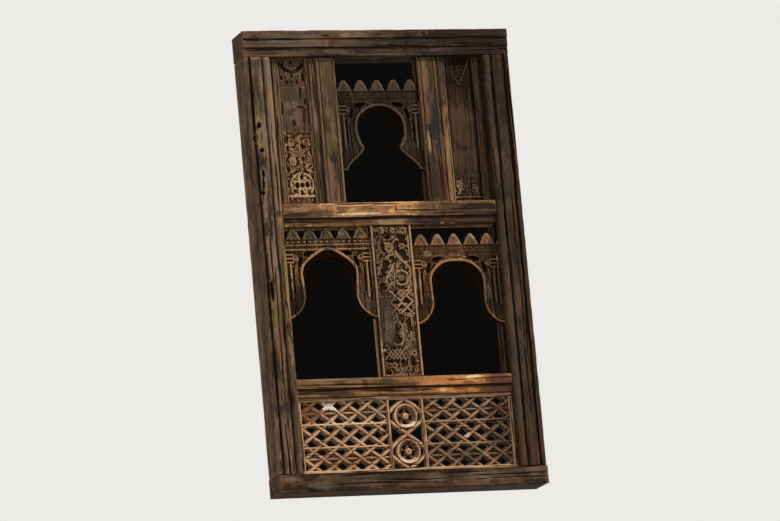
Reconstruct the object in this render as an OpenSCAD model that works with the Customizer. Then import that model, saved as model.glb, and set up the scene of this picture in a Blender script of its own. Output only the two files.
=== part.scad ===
// Carved two-tier window screen with a pierced apron, as found in old coral stone houses.
// X runs along the window, Y from the front face to the back, Z up.
// The origin is the centre of the sill's underside. Sizes are millimetres.

/* [Frame] */
// Width over both jambs
frame_w = 960; // [860:5:1100]
// Depth of the jambs
frame_d = 120; // [110:1:160]
// Face width of a jamb
jamb_w = 95; // [86:1:120]
// Height of the sill
sill_h = 65; // [56:1:90]
// Height of the head beam
head_h = 92; // [80:1:130]
// How far the sill and the head stand in front of the jambs
head_project = 6; // [2:1:14]

/* [Tiers] */
// Height of the pierced apron, between sill and lower rail
apron_h = 260; // [240:1:320]
// Height of the lower rail
lower_rail_h = 65; // [50:1:90]
// Height of the two lower lights
lower_light_h = 525; // [420:5:700]
// Height of the midrail
midrail_h = 83; // [70:1:110]
// Height of the upper tier
upper_tier_h = 510; // [440:5:640]

/* [Rails, mullion and stiles] */
// Set back of the rails behind the jamb face
rail_set = 6; // [2:1:12]
// Depth of the rails, front to back
rail_d = 84; // [70:1:96]
// Step between the two bands of a rail
rail_step = 10; // [4:1:14]
// Height of the lower band of a rail
rail_band_h = 28; // [18:1:34]
// Face width of the centre mullion
mullion_w = 145; // [110:1:180]
// Face width of a stile beside the upper light
stile_w = 66; // [56:1:80]
// Clear width of the upper light
upper_light_w = 300; // [260:1:340]
// Set back of mullion and stiles behind the jamb face
post_set = 20; // [12:1:26]
// Depth of mullion and stiles
post_d = 58; // [48:1:72]
// Chamfer on the front edges of mullion and stiles
post_chamfer = 3; // [1:0.5:6]
// Depth to which the carved fields are sunk
field_sink = 3; // [1:0.5:5]

/* [Infill boards] */
// Set back of the boards' face behind the jamb face
board_set = 34; // [30:1:40]
// Thickness of every infill board
board_t = 24; // [16:1:28]
// Depth of the grooves that hold the boards
groove_d = 12; // [6:1:16]
// Face width of the battens beside the carved panels
batten_w = 36; // [24:1:48]
// Thickness of the battens
batten_t = 10; // [6:1:13]
// How far the round face of a batten stands out at its middle
batten_crown = 6; // [3:0.5:8]

/* [Arch boards] */
// Height of an arch board, over its crest
arch_board_h = 320; // [300:1:400]
// How far the upper board has slipped down its grooves
upper_slip = 78; // [2:1:140]
// How far the lower right board has slipped down its grooves
right_slip = 31; // [2:1:120]
// Height of the crest points over their notches
crest_h = 42; // [20:1:48]
// Distance between crest points
crest_pitch = 60; // [48:1:70]
// Width of the blunt end of a crest point
crest_tip = 12; // [6:1:24]
// Width of a notch between two crest points, about half way up
notch_w = 22; // [12:1:30]
// Radius of the round head in the lower boards
lower_arch_r = 89; // [70:1:100]
// Height of the round head's centre in the lower boards
lower_arch_z = 124; // [100:1:140]
// Radius of the rounded feet of the lower boards
foot_r = 88; // [60:1:95]
// Radius of the round head in the upper board
upper_arch_r = 78; // [60:1:90]
// Height of the round head's centre in the upper board
upper_arch_z = 135; // [120:1:150]
// Width of the neck under the upper board's round head
neck_w = 124; // [90:1:140]
// Height at which the feet of the upper board start
neck_z = 84; // [60:1:90]
// Flat end of a foot of the upper board
foot_end = 22; // [12:1:40]
// Width of the raised rims and string courses
rim_w = 9; // [5:1:12]
// How far the rims stand in front of their board
rim_t = 4; // [2:0.5:7]
// Width of the small triangular piercings
eye_w = 24; // [12:1:30]
// Height of the small triangular piercings
eye_h = 18; // [10:1:22]

/* [Apron lattice] */
// Width of the plain edge round the pierced fields
apron_edge = 12; // [8:1:20]
// Clear width of the centre field
centre_field_w = 116; // [100:1:150]
// Width of the dividers beside the centre field
divider_w = 8; // [6:1:14]
// How far the strips stand in front of the lattice
strip_t = 6; // [3:0.5:10]
// Distance between the crossings along a row
strap_pitch = 67.5; // [56:0.5:84]
// Distance between the crossings up a column
strap_rise = 52; // [44:0.5:64]
// Width of the slanting straps
strap_w = 17; // [12:0.5:20]
// Width of the level straps
level_strap_w = 12; // [8:0.5:16]
// Distance between the level straps
level_strap_step = 39; // [34:0.5:48]
// First crossing, from the left edge of a field
strap_start = 35; // [0:0.5:60]
// Outer diameter of a rosette ring
rosette_d = 86; // [70:1:96]
// Width of a rosette ring
rosette_ring_w = 16; // [9:1:18]
// Diameter of a rosette's boss
boss_d = 26; // [18:1:36]
// Number of spokes in a rosette
spokes = 5; // [4:1:10]
// Width of a spoke
spoke_w = 8; // [5:1:10]
// Height of a rosette's centre over the middle of the apron
rosette_rise = 61; // [54:1:66]

/* [Joints] */
// Clearance round tenons and in grooves
fit = 0.3; // [0.2:0.05:0.5]
// Length of the long tenons
tenon_l = 40; // [24:1:48]
// Length of the tenons on mullion and stiles
post_tenon_l = 26; // [16:1:30]
// Shoulder beside a tenon
shoulder = 10; // [6:1:14]
// Depth of the grooves in sill, rails and head
rail_groove_d = 8; // [5:1:12]

/* [Hidden] */
$fn = 96;

// Cuts run this far past the faces they open
over = 1;

// Levels
apron_z = sill_h;
lower_rail_z = apron_z + apron_h;
lower_light_z = lower_rail_z + lower_rail_h;
midrail_z = lower_light_z + lower_light_h;
upper_z = midrail_z + midrail_h;
head_z = upper_z + upper_tier_h;

// Places across the window
clear_w = frame_w - 2 * jamb_w;
clear_x = clear_w / 2;
lower_light_w = (clear_w - mullion_w) / 2;
lower_light_x = (clear_x + mullion_w / 2) / 2;
stile_x = upper_light_w / 2;
panel_x = stile_x + stile_w;
panel_w = clear_x - panel_x;

// Places from front to back
front_y = -frame_d / 2;
rail_y = front_y + rail_set;
post_y = front_y + post_set;
board_y = front_y + board_set;

// Moulded face of a jamb
bead_w = 28;
bead_r = 20;
quirk_w = 4;
quirk_d = 6;
band_set = 2;
outer_band_w = 18;

// Bands of the head
head_bands = 3;
head_band_step = 4;

// Rounding of the rails' upper front edges
rail_round = 14;

// The arch boards' rims
rim_gap = 13;
rim_point = 24;
upper_rim_gap = 6;
string_z = 240;
frieze_z = 258;
frieze_w = 6;
side_fillet_w = 7;
fillet_foot_z = 70;
shaft_x = 19;
shaft_w = 6;
shaft_foot_z = 78;
capital_z = 198;
capital_w = 32;
capital_h = 7;
capitals = 3;
capital_step = 13;
eye_x = 68;
eye_z = 218;

// The apron's three fields
field_h = apron_h - 2 * apron_edge;
side_field_x = centre_field_w / 2 + divider_w;
side_field_w = clear_x - apron_edge - side_field_x;
apron_mid_z = apron_z + apron_h / 2;
strap_angle = atan(strap_rise / strap_pitch);
strap_l = 2 * (field_h + strap_pitch);

function ogee(t, a, b) = a + (b - a) * (1 - cos(180 * t)) / 2;

// A block given by its low corner and its size
module block(x, y, z, w, d, h) {
  translate([x, y, z]) cube([w, d, h]);
}

// Extrudes a front view, drawn in X and Z, from y backwards
module front_plate(y, t) {
  translate([0, y + t, 0]) rotate([90, 0, 0]) linear_extrude(t) children();
}

// Extrudes a section, drawn in Y and Z, along X
module along_x(x0, w) {
  translate([x0, 0, 0]) rotate([90, 0, 90]) linear_extrude(w) children();
}

// Draws its children on the left and on the right
module both_sides() {
  children();
  mirror([1, 0, 0]) children();
}

// A tenon in the plane of the boards, and the mortise that takes it
module tenon(x, z, w, h) {
  block(x, board_y, z, w, board_t, h);
}
module mortise(x, z, w, h) {
  block(x - fit, board_y - fit, z - fit, w + 2 * fit, board_t + 2 * fit, h + 2 * fit);
}

// Jambs
jamb_tenon_w = 50;
module jamb_section() {
  rear = frame_d - quirk_d;
  translate([0, quirk_d]) square([jamb_w, rear]);
  intersection() {
    translate([bead_w / 2, bead_r]) circle(r = bead_r);
    square([bead_w, quirk_d + over]);
  }
  main_band_x = bead_w + quirk_w;
  main_band_w = jamb_w - main_band_x - quirk_w - outer_band_w;
  translate([main_band_x, band_set]) square([main_band_w, quirk_d]);
  translate([jamb_w - outer_band_w, 0]) square([outer_band_w, quirk_d + over]);
}
module jamb() {
  jamb_h = head_z - sill_h;
  difference() {
    translate([clear_x, front_y, sill_h]) linear_extrude(jamb_h) jamb_section();
    block(clear_x - over, board_y - fit, sill_h - over, groove_d + over,
          board_t + 2 * fit, jamb_h + 2 * over);
    rail_mortise(midrail_z, midrail_h);
    rail_mortise(lower_rail_z, lower_rail_h);
  }
  tenon(jamb_tenon_x(), sill_h - tenon_l, jamb_tenon_w, tenon_l);
  tenon(jamb_tenon_x(), head_z, jamb_tenon_w, tenon_l);
}
function jamb_tenon_x() = clear_x + (jamb_w - jamb_tenon_w) / 2;
module rail_mortise(z, h) {
  mortise(clear_x - over, z + shoulder, tenon_l + over, h - 2 * shoulder);
}
module left_jamb() {
  color("#6f6558") mirror([1, 0, 0]) jamb();
}
module right_jamb() {
  color("#6f6558") jamb();
}

// Sill
module sill() {
  color("#73634f") difference() {
    block(-frame_w / 2, front_y - head_project, 0, frame_w, frame_d + head_project, sill_h);
    both_sides() mortise(jamb_tenon_x(), sill_h - tenon_l, jamb_tenon_w, tenon_l + over);
    groove_x(-clear_x - groove_d, 2 * (clear_x + groove_d), sill_h - rail_groove_d);
  }
}

// A groove in a level timber, for boards that stand in it or hang in it
module groove_x(x, w, z) {
  block(x, board_y - fit, z, w, board_t + 2 * fit, rail_groove_d + over);
}

// Head beam, with stepped bands
module head_section() {
  band_h = head_h / head_bands;
  for (i = [0 : head_bands - 1]) {
    band_y = front_y - head_project + (head_bands - 1 - i) * head_band_step;
    translate([band_y, i * band_h]) square([-band_y - front_y, band_h]);
  }
}
module head_beam() {
  color("#78695a") difference() {
    translate([0, 0, head_z]) along_x(-frame_w / 2, frame_w) head_section();
    both_sides() mortise(jamb_tenon_x(), head_z - over, jamb_tenon_w, tenon_l + over);
    both_sides() mortise(stile_tenon_x(), head_z - over, stile_tenon_w(), post_tenon_l + over);
    both_sides() groove_x(panel_x - groove_d, panel_w + 2 * groove_d, head_z - over);
  }
}

// Rails
module rail_section(h) {
  translate([rail_y + rail_step, 0]) square([rail_d - rail_step, rail_band_h]);
  upper_h = h - rail_band_h;
  translate([rail_y, rail_band_h]) square([rail_d, upper_h - rail_round]);
  translate([rail_y + rail_round, rail_band_h]) square([rail_d - rail_round, upper_h]);
  translate([rail_y + rail_round, h - rail_round]) circle(r = rail_round);
}
module rail(z, h) {
  translate([0, 0, z]) along_x(-clear_x, clear_w) rail_section(h);
  both_sides() tenon(clear_x, z + shoulder, tenon_l, h - 2 * shoulder);
}
module midrail() {
  color("#9a7650") difference() {
    rail(midrail_z, midrail_h);
    both_sides() mortise(stile_tenon_x(), upper_z - post_tenon_l, stile_tenon_w(),
                         post_tenon_l + over);
    both_sides() groove_x(panel_x - groove_d, panel_w + groove_d, upper_z - rail_groove_d);
    mullion_mortise(midrail_z - over);
  }
}
module lower_rail() {
  color("#94683f") difference() {
    rail(lower_rail_z, lower_rail_h);
    mullion_mortise(lower_light_z - post_tenon_l);
    groove_x(-clear_x, clear_w, lower_rail_z - over);
  }
}

// A post with chamfered front edges, from x towards the right
module post(x, z, w, h) {
  c = post_chamfer;
  translate([x, post_y, z]) linear_extrude(h)
    polygon([[0, c], [c, 0], [w - c, 0], [w, c], [w, post_d], [0, post_d]]);
}

// Centre mullion
mullion_shoulder = 30;
mullion_border = 9;
module mullion_mortise(z) {
  w = mullion_w - 2 * mullion_shoulder;
  mortise(-w / 2, z, w, post_tenon_l + over);
}
module centre_mullion() {
  w = mullion_w - 2 * mullion_shoulder;
  color("#84735f") {
    difference() {
      post(-mullion_w / 2, lower_light_z, mullion_w, lower_light_h);
      block(mullion_border - mullion_w / 2, post_y - over, lower_light_z + mullion_border,
            mullion_w - 2 * mullion_border, field_sink + over, lower_light_h - 2 * mullion_border);
      both_sides() block(mullion_w / 2 - groove_d, board_y - fit, lower_light_z - over,
                         groove_d + over, board_t + 2 * fit, lower_light_h + 2 * over);
    }
    tenon(-w / 2, lower_light_z - post_tenon_l, w, post_tenon_l);
    tenon(-w / 2, midrail_z, w, post_tenon_l);
  }
}

// Stiles beside the upper light
function stile_tenon_x() = stile_x + groove_d + shoulder / 2;
function stile_tenon_w() = stile_w - 2 * groove_d - shoulder;
module stile() {
  difference() {
    post(stile_x, upper_z, stile_w, upper_tier_h);
    for (x = [stile_x - over, panel_x - groove_d])
      block(x, board_y - fit, upper_z - over, groove_d + over, board_t + 2 * fit,
            upper_tier_h + 2 * over);
  }
  tenon(stile_tenon_x(), upper_z - post_tenon_l, stile_tenon_w(), post_tenon_l);
  tenon(stile_tenon_x(), head_z, stile_tenon_w(), post_tenon_l);
}
module upper_left_stile() {
  color("#8a7662") mirror([1, 0, 0]) stile();
}
module upper_right_stile() {
  color("#8a7662") stile();
}

// Carved panels between stile and jamb, with a plain part between two sunk fields
lower_field_z = 14;
lower_field_h = 238;
upper_field_z = 406;
upper_field_h = 98;
module panel() {
  edge = groove_d - fit;
  tall = upper_tier_h + 2 * (rail_groove_d - fit);
  difference() {
    block(panel_x - edge, board_y, upper_z - rail_groove_d + fit, panel_w + 2 * edge, board_t, tall);
    panel_field(lower_field_z, lower_field_h);
    panel_field(upper_field_z, upper_field_h);
  }
}
module panel_field(z, h) {
  block(panel_x + batten_w, board_y - over, upper_z + z, panel_w - 2 * batten_w, field_sink + over, h);
}

// Battens over the panels' edges, with a round face
module batten(x) {
  arc_r = (pow(batten_w / 2, 2) + pow(batten_crown, 2)) / (2 * batten_crown);
  translate([x, board_y - batten_t, upper_z]) linear_extrude(upper_tier_h) intersection() {
    square([batten_w, batten_t]);
    translate([batten_w / 2, arc_r]) circle(r = arc_r);
  }
}
module upper_left_panel() {
  color("#86745c") mirror([1, 0, 0]) panel();
}
module upper_right_panel() {
  color("#766857") panel();
}
module upper_left_outer_batten() {
  color("#7d6d5b") mirror([1, 0, 0]) batten(clear_x - batten_w);
}
module upper_left_inner_batten() {
  color("#7d6d5b") mirror([1, 0, 0]) batten(panel_x);
}
module upper_right_inner_batten() {
  color("#93775a") batten(panel_x);
}
module upper_right_outer_batten() {
  color("#7d6d5b") batten(clear_x - batten_w);
}

// Arch boards. Each is drawn about its own middle, with its foot at height 0.
module crest_notch() {
  low = crest_h * 0.3;
  high = crest_h * 0.62;
  top = (crest_pitch - crest_tip) / 2;
  polygon([[0, -crest_h], [notch_w / 3, low - crest_h], [notch_w * 0.55, high - crest_h],
           [top, 0], [top, over], [-top, over], [-top, 0],
           [-notch_w * 0.55, high - crest_h], [-notch_w / 3, low - crest_h]]);
}
module crest_notches(light_w) {
  pairs = ceil(light_w / crest_pitch / 2);
  for (i = [-pairs : pairs - 1])
    translate([(i + 0.5) * crest_pitch, arch_board_h]) crest_notch();
}
module eye() {
  polygon([[-eye_w / 2, eye_h], [eye_w / 2, eye_h], [0, 0]]);
}
module eyes() {
  for (side = [-1, 1]) translate([side * eye_x, eye_z]) eye();
}
module lower_opening(light_w) {
  translate([0, lower_arch_z]) circle(r = lower_arch_r);
  translate([-lower_arch_r, -over]) square([2 * lower_arch_r, lower_arch_z + over]);
  for (side = [-1, 1]) difference() {
    low_x = min(0, side * (light_w / 2 + groove_d));
    translate([low_x, -over]) square([light_w / 2 + groove_d, foot_r + over]);
    translate([side * (lower_arch_r + foot_r), foot_r]) circle(r = foot_r);
  }
}
module upper_opening(light_w) {
  foot_x = light_w / 2 - foot_end;
  steps = 8;
  translate([0, upper_arch_z]) circle(r = upper_arch_r);
  right = [for (i = [0 : steps]) [ogee(i / steps, neck_w / 2, foot_x), neck_z * (1 - i / steps)]];
  left = [for (i = [steps : -1 : 0]) [-right[i][0], right[i][1]]];
  polygon(concat([[neck_w / 2, upper_arch_z]], right, [[foot_x, -over], [-foot_x, -over]],
                 left, [[-neck_w / 2, upper_arch_z]]));
}
module lower_rim() {
  outer = lower_arch_r + rim_gap + rim_point;
  difference() {
    pointed_arch(outer);
    pointed_arch(outer - rim_w);
  }
}
module pointed_arch(r) {
  intersection() {
    for_both_centres(r, -1);
    for_both_centres(r, 1);
    translate([-r, lower_arch_z]) square([2 * r, r]);
  }
}
module for_both_centres(r, side) {
  translate([side * rim_point, lower_arch_z]) circle(r = r);
}
module upper_rim() {
  outer = upper_arch_r + upper_rim_gap + rim_w;
  difference() {
    translate([0, upper_arch_z]) circle(r = outer);
    translate([0, upper_arch_z]) circle(r = outer - rim_w);
    translate([-outer, neck_z - outer]) square([2 * outer, outer]);
  }
}
module string_courses(light_w) {
  translate([-light_w / 2 + fit, string_z]) square([light_w - 2 * fit, rim_w]);
  translate([-light_w / 2 + fit, frieze_z]) square([light_w - 2 * fit, frieze_w]);
}

// A small column against each side of the light, with a stepped capital
module side_columns(light_w) {
  edge = light_w / 2 - fit;
  both_sides_2d() {
    translate([edge - side_fillet_w, fillet_foot_z])
      square([side_fillet_w, string_z - fillet_foot_z]);
    translate([edge - shaft_x - shaft_w, shaft_foot_z]) square([shaft_w, capital_z - shaft_foot_z]);
    for (i = [0 : capitals - 1])
      translate([edge - capital_w, capital_z + i * capital_step]) square([capital_w, capital_h]);
  }
}
module both_sides_2d() {
  children();
  mirror([1, 0]) children();
}
module board_blank(light_w) {
  w = light_w + 2 * (groove_d - fit);
  translate([-w / 2, 0]) square([w, arch_board_h]);
}
module lower_board() {
  difference() {
    union() {
      front_plate(board_y, board_t) board_blank(lower_light_w);
      front_plate(board_y - rim_t, rim_t) {
        lower_rim();
        string_courses(lower_light_w);
        side_columns(lower_light_w);
      }
    }
    front_plate(board_y - rim_t - over, board_t + rim_t + 2 * over) {
      lower_opening(lower_light_w);
      crest_notches(lower_light_w);
      eyes();
    }
  }
}
module upper_board() {
  difference() {
    union() {
      front_plate(board_y, board_t) board_blank(upper_light_w);
      front_plate(board_y - rim_t, rim_t) {
        upper_rim();
        string_courses(upper_light_w);
        side_columns(upper_light_w);
      }
    }
    front_plate(board_y - rim_t - over, board_t + rim_t + 2 * over) {
      upper_opening(upper_light_w);
      crest_notches(upper_light_w);
      eyes();
    }
  }
}
module upper_arch_board() {
  color("#8b7b66") translate([0, 0, head_z - arch_board_h - upper_slip]) upper_board();
}
module lower_left_arch_board() {
  color("#7c6c58") translate([-lower_light_x, 0, midrail_z - arch_board_h - fit]) lower_board();
}
module lower_right_arch_board() {
  color("#8b7256") translate([lower_light_x, 0, midrail_z - arch_board_h - right_slip])
    lower_board();
}

// Apron lattice. Fields are drawn from their low left corner.
module slanting_strap(x, z) {
  for (side = [-1, 1]) translate([x, z]) rotate(side * strap_angle)
    square([strap_l, strap_w], center = true);
}
module side_straps() {
  n = ceil((side_field_w + field_h) / strap_pitch);
  for (i = [-n : n]) slanting_strap(strap_start + i * strap_pitch, field_h / 2);
  for (k = [-2, -1, 1, 2])
    translate([0, field_h / 2 + k * level_strap_step - level_strap_w / 2])
      square([side_field_w, level_strap_w]);
}
module lattice_board(x, w, field_x, field_w) {
  tall = apron_h + 2 * (rail_groove_d - fit);
  difference() {
    front_plate(board_y, board_t) translate([x, apron_z - rail_groove_d + fit]) square([w, tall]);
    front_plate(board_y - over, board_t + 2 * over) difference() {
      translate([field_x, apron_z + apron_edge]) square([field_w, field_h]);
      translate([field_x, apron_z + apron_edge]) children();
    }
  }
}
seam_x = side_field_x - divider_w / 2;
module side_lattice(field_x, x) {
  lattice_board(x, clear_x + groove_d - fit - seam_x, field_x, side_field_w) side_straps();
}
module apron_left_lattice() {
  color("#a08c6e") side_lattice(-clear_x + apron_edge, -clear_x - groove_d + fit);
}
module apron_right_lattice() {
  color("#a08c6e") side_lattice(side_field_x, seam_x);
}
module rosette() {
  difference() {
    circle(d = rosette_d);
    circle(d = rosette_d - 2 * rosette_ring_w);
  }
  circle(d = boss_d);
  for (i = [0 : spokes - 1]) rotate(i * 360 / spokes + 90)
    translate([0, -spoke_w / 2]) square([(rosette_d - rosette_ring_w) / 2, spoke_w]);
}
module centre_straps() {
  translate([centre_field_w / 2, field_h / 2]) {
    for (k = [-1, 0, 1]) slanting_strap(0, k * 2 * rosette_rise);
    for (k = [-1, 1]) translate([0, k * rosette_rise]) rosette();
  }
}
module apron_centre_lattice() {
  color("#a8947a") lattice_board(-seam_x, 2 * seam_x, -centre_field_w / 2, centre_field_w)
    centre_straps();
}

// Raised strips round the fields
module strip(x, z, w, h) {
  block(x, board_y - strip_t, z, w, strip_t, h);
}
module apron_top_strip() {
  color("#a48d6f") strip(-clear_x, lower_rail_z - apron_edge, clear_w, apron_edge);
}
module apron_bottom_strip() {
  color("#a48d6f") strip(-clear_x, apron_z, clear_w, apron_edge);
}
module apron_left_strip() {
  color("#a48d6f") strip(-clear_x, apron_z + apron_edge, apron_edge, field_h);
}
module apron_right_strip() {
  color("#a48d6f") strip(clear_x - apron_edge, apron_z + apron_edge, apron_edge, field_h);
}
module apron_left_divider() {
  color("#a48d6f") strip(-side_field_x, apron_z + apron_edge, divider_w, field_h);
}
module apron_right_divider() {
  color("#a48d6f") strip(centre_field_w / 2, apron_z + apron_edge, divider_w, field_h);
}

sill();
head_beam();
left_jamb();
right_jamb();
midrail();
lower_rail();
centre_mullion();
upper_left_stile();
upper_right_stile();
upper_left_panel();
upper_right_panel();
upper_left_outer_batten();
upper_left_inner_batten();
upper_right_inner_batten();
upper_right_outer_batten();
upper_arch_board();
lower_left_arch_board();
lower_right_arch_board();
apron_left_lattice();
apron_centre_lattice();
apron_right_lattice();
apron_top_strip();
apron_bottom_strip();
apron_left_strip();
apron_right_strip();
apron_left_divider();
apron_right_divider();
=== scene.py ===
import math

import bpy
import numpy as np
from mathutils import Matrix, Vector


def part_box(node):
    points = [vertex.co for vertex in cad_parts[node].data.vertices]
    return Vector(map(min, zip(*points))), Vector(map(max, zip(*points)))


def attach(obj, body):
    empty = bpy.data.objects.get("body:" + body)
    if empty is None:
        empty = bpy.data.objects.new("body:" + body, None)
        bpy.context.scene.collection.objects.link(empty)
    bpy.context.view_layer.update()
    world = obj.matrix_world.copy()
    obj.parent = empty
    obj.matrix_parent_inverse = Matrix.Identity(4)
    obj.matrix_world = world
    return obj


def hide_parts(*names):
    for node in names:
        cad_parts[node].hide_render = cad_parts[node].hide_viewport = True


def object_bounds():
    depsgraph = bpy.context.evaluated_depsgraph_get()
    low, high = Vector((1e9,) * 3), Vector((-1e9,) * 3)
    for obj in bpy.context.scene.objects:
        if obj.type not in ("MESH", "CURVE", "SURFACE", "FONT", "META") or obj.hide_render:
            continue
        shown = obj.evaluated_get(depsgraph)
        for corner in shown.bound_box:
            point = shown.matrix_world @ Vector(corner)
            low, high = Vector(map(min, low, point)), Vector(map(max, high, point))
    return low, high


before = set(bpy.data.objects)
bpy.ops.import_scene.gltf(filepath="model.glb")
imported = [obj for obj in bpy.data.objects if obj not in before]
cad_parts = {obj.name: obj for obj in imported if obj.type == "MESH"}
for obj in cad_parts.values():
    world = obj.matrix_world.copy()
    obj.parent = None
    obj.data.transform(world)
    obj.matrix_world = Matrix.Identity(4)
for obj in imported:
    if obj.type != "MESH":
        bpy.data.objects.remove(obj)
cad_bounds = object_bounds()

mm = 0.001

# The apron's straps and rosettes, in millimetres
STRAP_PITCH, STRAP_RISE, STRAP_W, STRAP_START = 67.5, 52, 17, 35
LEVEL_STEP, LEVEL_W, CREST_W = 39, 12, 11.5
ROSETTE_RISE, ROSETTE_D, BOSS_D = 61, 86, 26

# The level straps, each at a number of steps from the field's middle, and how high their crests stand
LEVEL_ROWS = ((-2, 0.5), (-1, 0.8), (1, 0.8), (2, 0.5))

# How far the old face stands over the sunk ground in each kind of work, in millimetres
MULLION_CUT, PANEL_CUT, BOARD_CUT, STRAP_CUT, ROSETTE_CUT = 6.5, 5.5, 7, 9, 8

# Carved fields, in millimetres: half the width of the mullion's, where a panel's middle stands, and half the
# width of a panel's
MULLION_FIELD, PANEL_MIDDLE, PANEL_FIELD = 64, 302, 49.5

# An arch board, in millimetres: its height, its crest's foot, and its merlons' pitch, height and slope
BOARD_H, CREST_FOOT, MERLON_PITCH, MERLON_H, MERLON_SLOPE = 320, 280, 60, 40, 1.5

# Heights in the frieze under the crest, over the board's foot: two mouldings, a row of holes, a row of beads
LOWER_MOULDING, UPPER_MOULDING, HOLE_ROW, BEAD_ROW = 244.5, 261, 252.3, 271

# Half the width of the lights, and how far from the middle the two grooves down a stile's face run, in
# millimetres
UPPER_LIGHT, LOWER_LIGHT, STILE_GROOVES = 150, 156.25, (160, 206)

# In metres: half the width of a post between the grooves that hold its boards, the planes in which outlines
# are taken, and where a post's plain walls start
MULLION_CORE, STILE_CORE = 60.5 * mm, 21 * mm
POST_SLICE, BOARD_SLICE, POST_WALL_START = -35 * mm, -14 * mm, -38 * mm

# Worm holes down the left jamb: (x, z, radius across, radius up, depth), in millimetres
JAMB_PITS = ((-443, 1269, 7, 9, 18), (-461, 1224, 8, 10, 20), (-440, 1182, 7, 8, 14), (-443, 1100, 5, 14, 12),
             (-445, 1068, 4, 20, 12), (-451, 1034, 8, 7, 12), (-446, 694, 5, 34, 12))

# Damage on the left lattice: (x, z, reach across, reach up), in millimetres
BROKEN_CORNER, BLEACHED_CHIP = (-345, 272, 46, 34), (-262, 299, 34, 13)

# The random values that noise runs between
WOBBLE = np.random.default_rng(11).random((64, 64, 64))


# Numbers that vary smoothly

def noise(p, size):
    """Smooth noise from -1 to 1 at points p. size is the width of one lump along each axis, in metres."""
    q = p / np.asarray(size)
    cell = np.floor(q).astype(int)
    t = q - cell
    t = t * t * (3 - 2 * t)
    total = np.zeros(len(p))
    for corner in np.ndindex(2, 2, 2):
        weight = np.where(corner, t, 1 - t).prod(axis=1)
        i = (cell + corner) % 64
        total += weight * WOBBLE[i[:, 0], i[:, 1], i[:, 2]]
    return 2 * total - 1


def ramp(low, high, v):
    """0 below low, 1 above high, and a smooth rise between."""
    t = np.clip((v - low) / (high - low), 0, 1)
    return t * t * (3 - 2 * t)


def xyz(x, y, z):
    return np.stack(np.broadcast_arrays(x, y, z), axis=-1).astype(float)


def grain_size(axis, across, along):
    """The size of noise that runs along a timber's grain."""
    size = [across] * 3
    size[axis] = along
    return size


# Sections of the CAD nodes

def cut(node, axis, at):
    """Where the CAD node's surface crosses the plane axis = at: segments (n, 2, 2) in the other two axes."""
    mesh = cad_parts[node].data
    mesh.calc_loop_triangles()
    co = np.empty(len(mesh.vertices) * 3)
    mesh.vertices.foreach_get("co", co)
    corners = np.empty(len(mesh.loop_triangles) * 3, np.int32)
    mesh.loop_triangles.foreach_get("vertices", corners)
    p = co.reshape(-1, 3)[corners.reshape(-1, 3)]
    h = p[:, :, axis] - at
    others = [i for i in range(3) if i != axis]
    points, crossed = [], []
    for a, b in ((0, 1), (1, 2), (2, 0)):
        crosses = (h[:, a] < 0) != (h[:, b] < 0)
        t = h[:, a] / np.where(crosses, h[:, a] - h[:, b], 1)
        points.append((p[:, a] + t[:, None] * (p[:, b] - p[:, a]))[:, others])
        crossed.append(crosses)
    points, crossed = np.stack(points, 1), np.stack(crossed, 1)
    two = crossed.sum(1) == 2
    ends = points[two][crossed[two]].reshape(-1, 2, 2)
    return ends[np.linalg.norm(ends[:, 0] - ends[:, 1], axis=1) > 1e-7]


def to_outline(p, segments):
    """For points p (n, 2): distance to the outline, the nearest point on it, and whether p is inside."""
    a, along = segments[:, 0], segments[:, 1] - segments[:, 0]
    length2 = (along ** 2).sum(1)
    distance, nearest, inside = np.empty(len(p)), np.empty((len(p), 2)), np.empty(len(p), bool)
    rows = 2048
    for i in range(0, len(p), rows):
        q = p[i:i + rows]
        t = np.clip(((q[:, None] - a) * along).sum(2) / length2, 0, 1)
        near = a + t[:, :, None] * along
        squared = ((q[:, None] - near) ** 2).sum(2)
        k = squared.argmin(1)
        each = np.arange(len(q))
        distance[i:i + rows] = np.sqrt(squared[each, k])
        nearest[i:i + rows] = near[each, k]
        above = (segments[:, 0, 1] > q[:, None, 1]) != (segments[:, 1, 1] > q[:, None, 1])
        rise = np.where(along[:, 1] == 0, 1, along[:, 1])
        cross_x = a[:, 0] + (q[:, None, 1] - a[:, 1]) * along[:, 0] / rise
        inside[i:i + rows] = (above & (cross_x > q[:, None, 0])).sum(1) % 2 == 1
    return distance, nearest, inside


def longest_loop(segments):
    """The outline's longest closed loop as ordered points."""
    keys = np.round(segments / 1e-6).astype(np.int64)
    following = {}
    for i, (a, b) in enumerate(keys):
        following.setdefault(tuple(a), []).append((i, 1))
        following.setdefault(tuple(b), []).append((i, 0))
    unused, loops = set(range(len(segments))), []
    while unused:
        i = min(unused)
        unused.discard(i)
        loop, tip = [segments[i, 0], segments[i, 1]], tuple(keys[i, 1])
        while True:
            step = next(((j, end) for j, end in following[tip] if j in unused), None)
            if step is None:
                break
            unused.discard(step[0])
            loop.append(segments[step[0], step[1]])
            tip = tuple(keys[step[0], step[1]])
        loops.append(np.array(loop[:-1]))
    return max(loops, key=lambda q: np.linalg.norm(np.diff(q, axis=0), axis=1).sum())


# Making meshes

def add_mesh(name, points, quads, caps=()):
    """A new object from points, quads and the loops of its end caps, with soft edges shaded smooth."""
    mesh = bpy.data.meshes.new(name)
    faces = [list(q) for q in quads] + [list(c) for c in caps]
    mesh.from_pydata(points.tolist(), [], faces)
    mesh.validate()
    mesh.shade_smooth()
    mesh.set_sharp_from_angle(angle=math.radians(55))
    obj = bpy.data.objects.new(name, mesh)
    bpy.context.scene.collection.objects.link(obj)
    return obj


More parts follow.
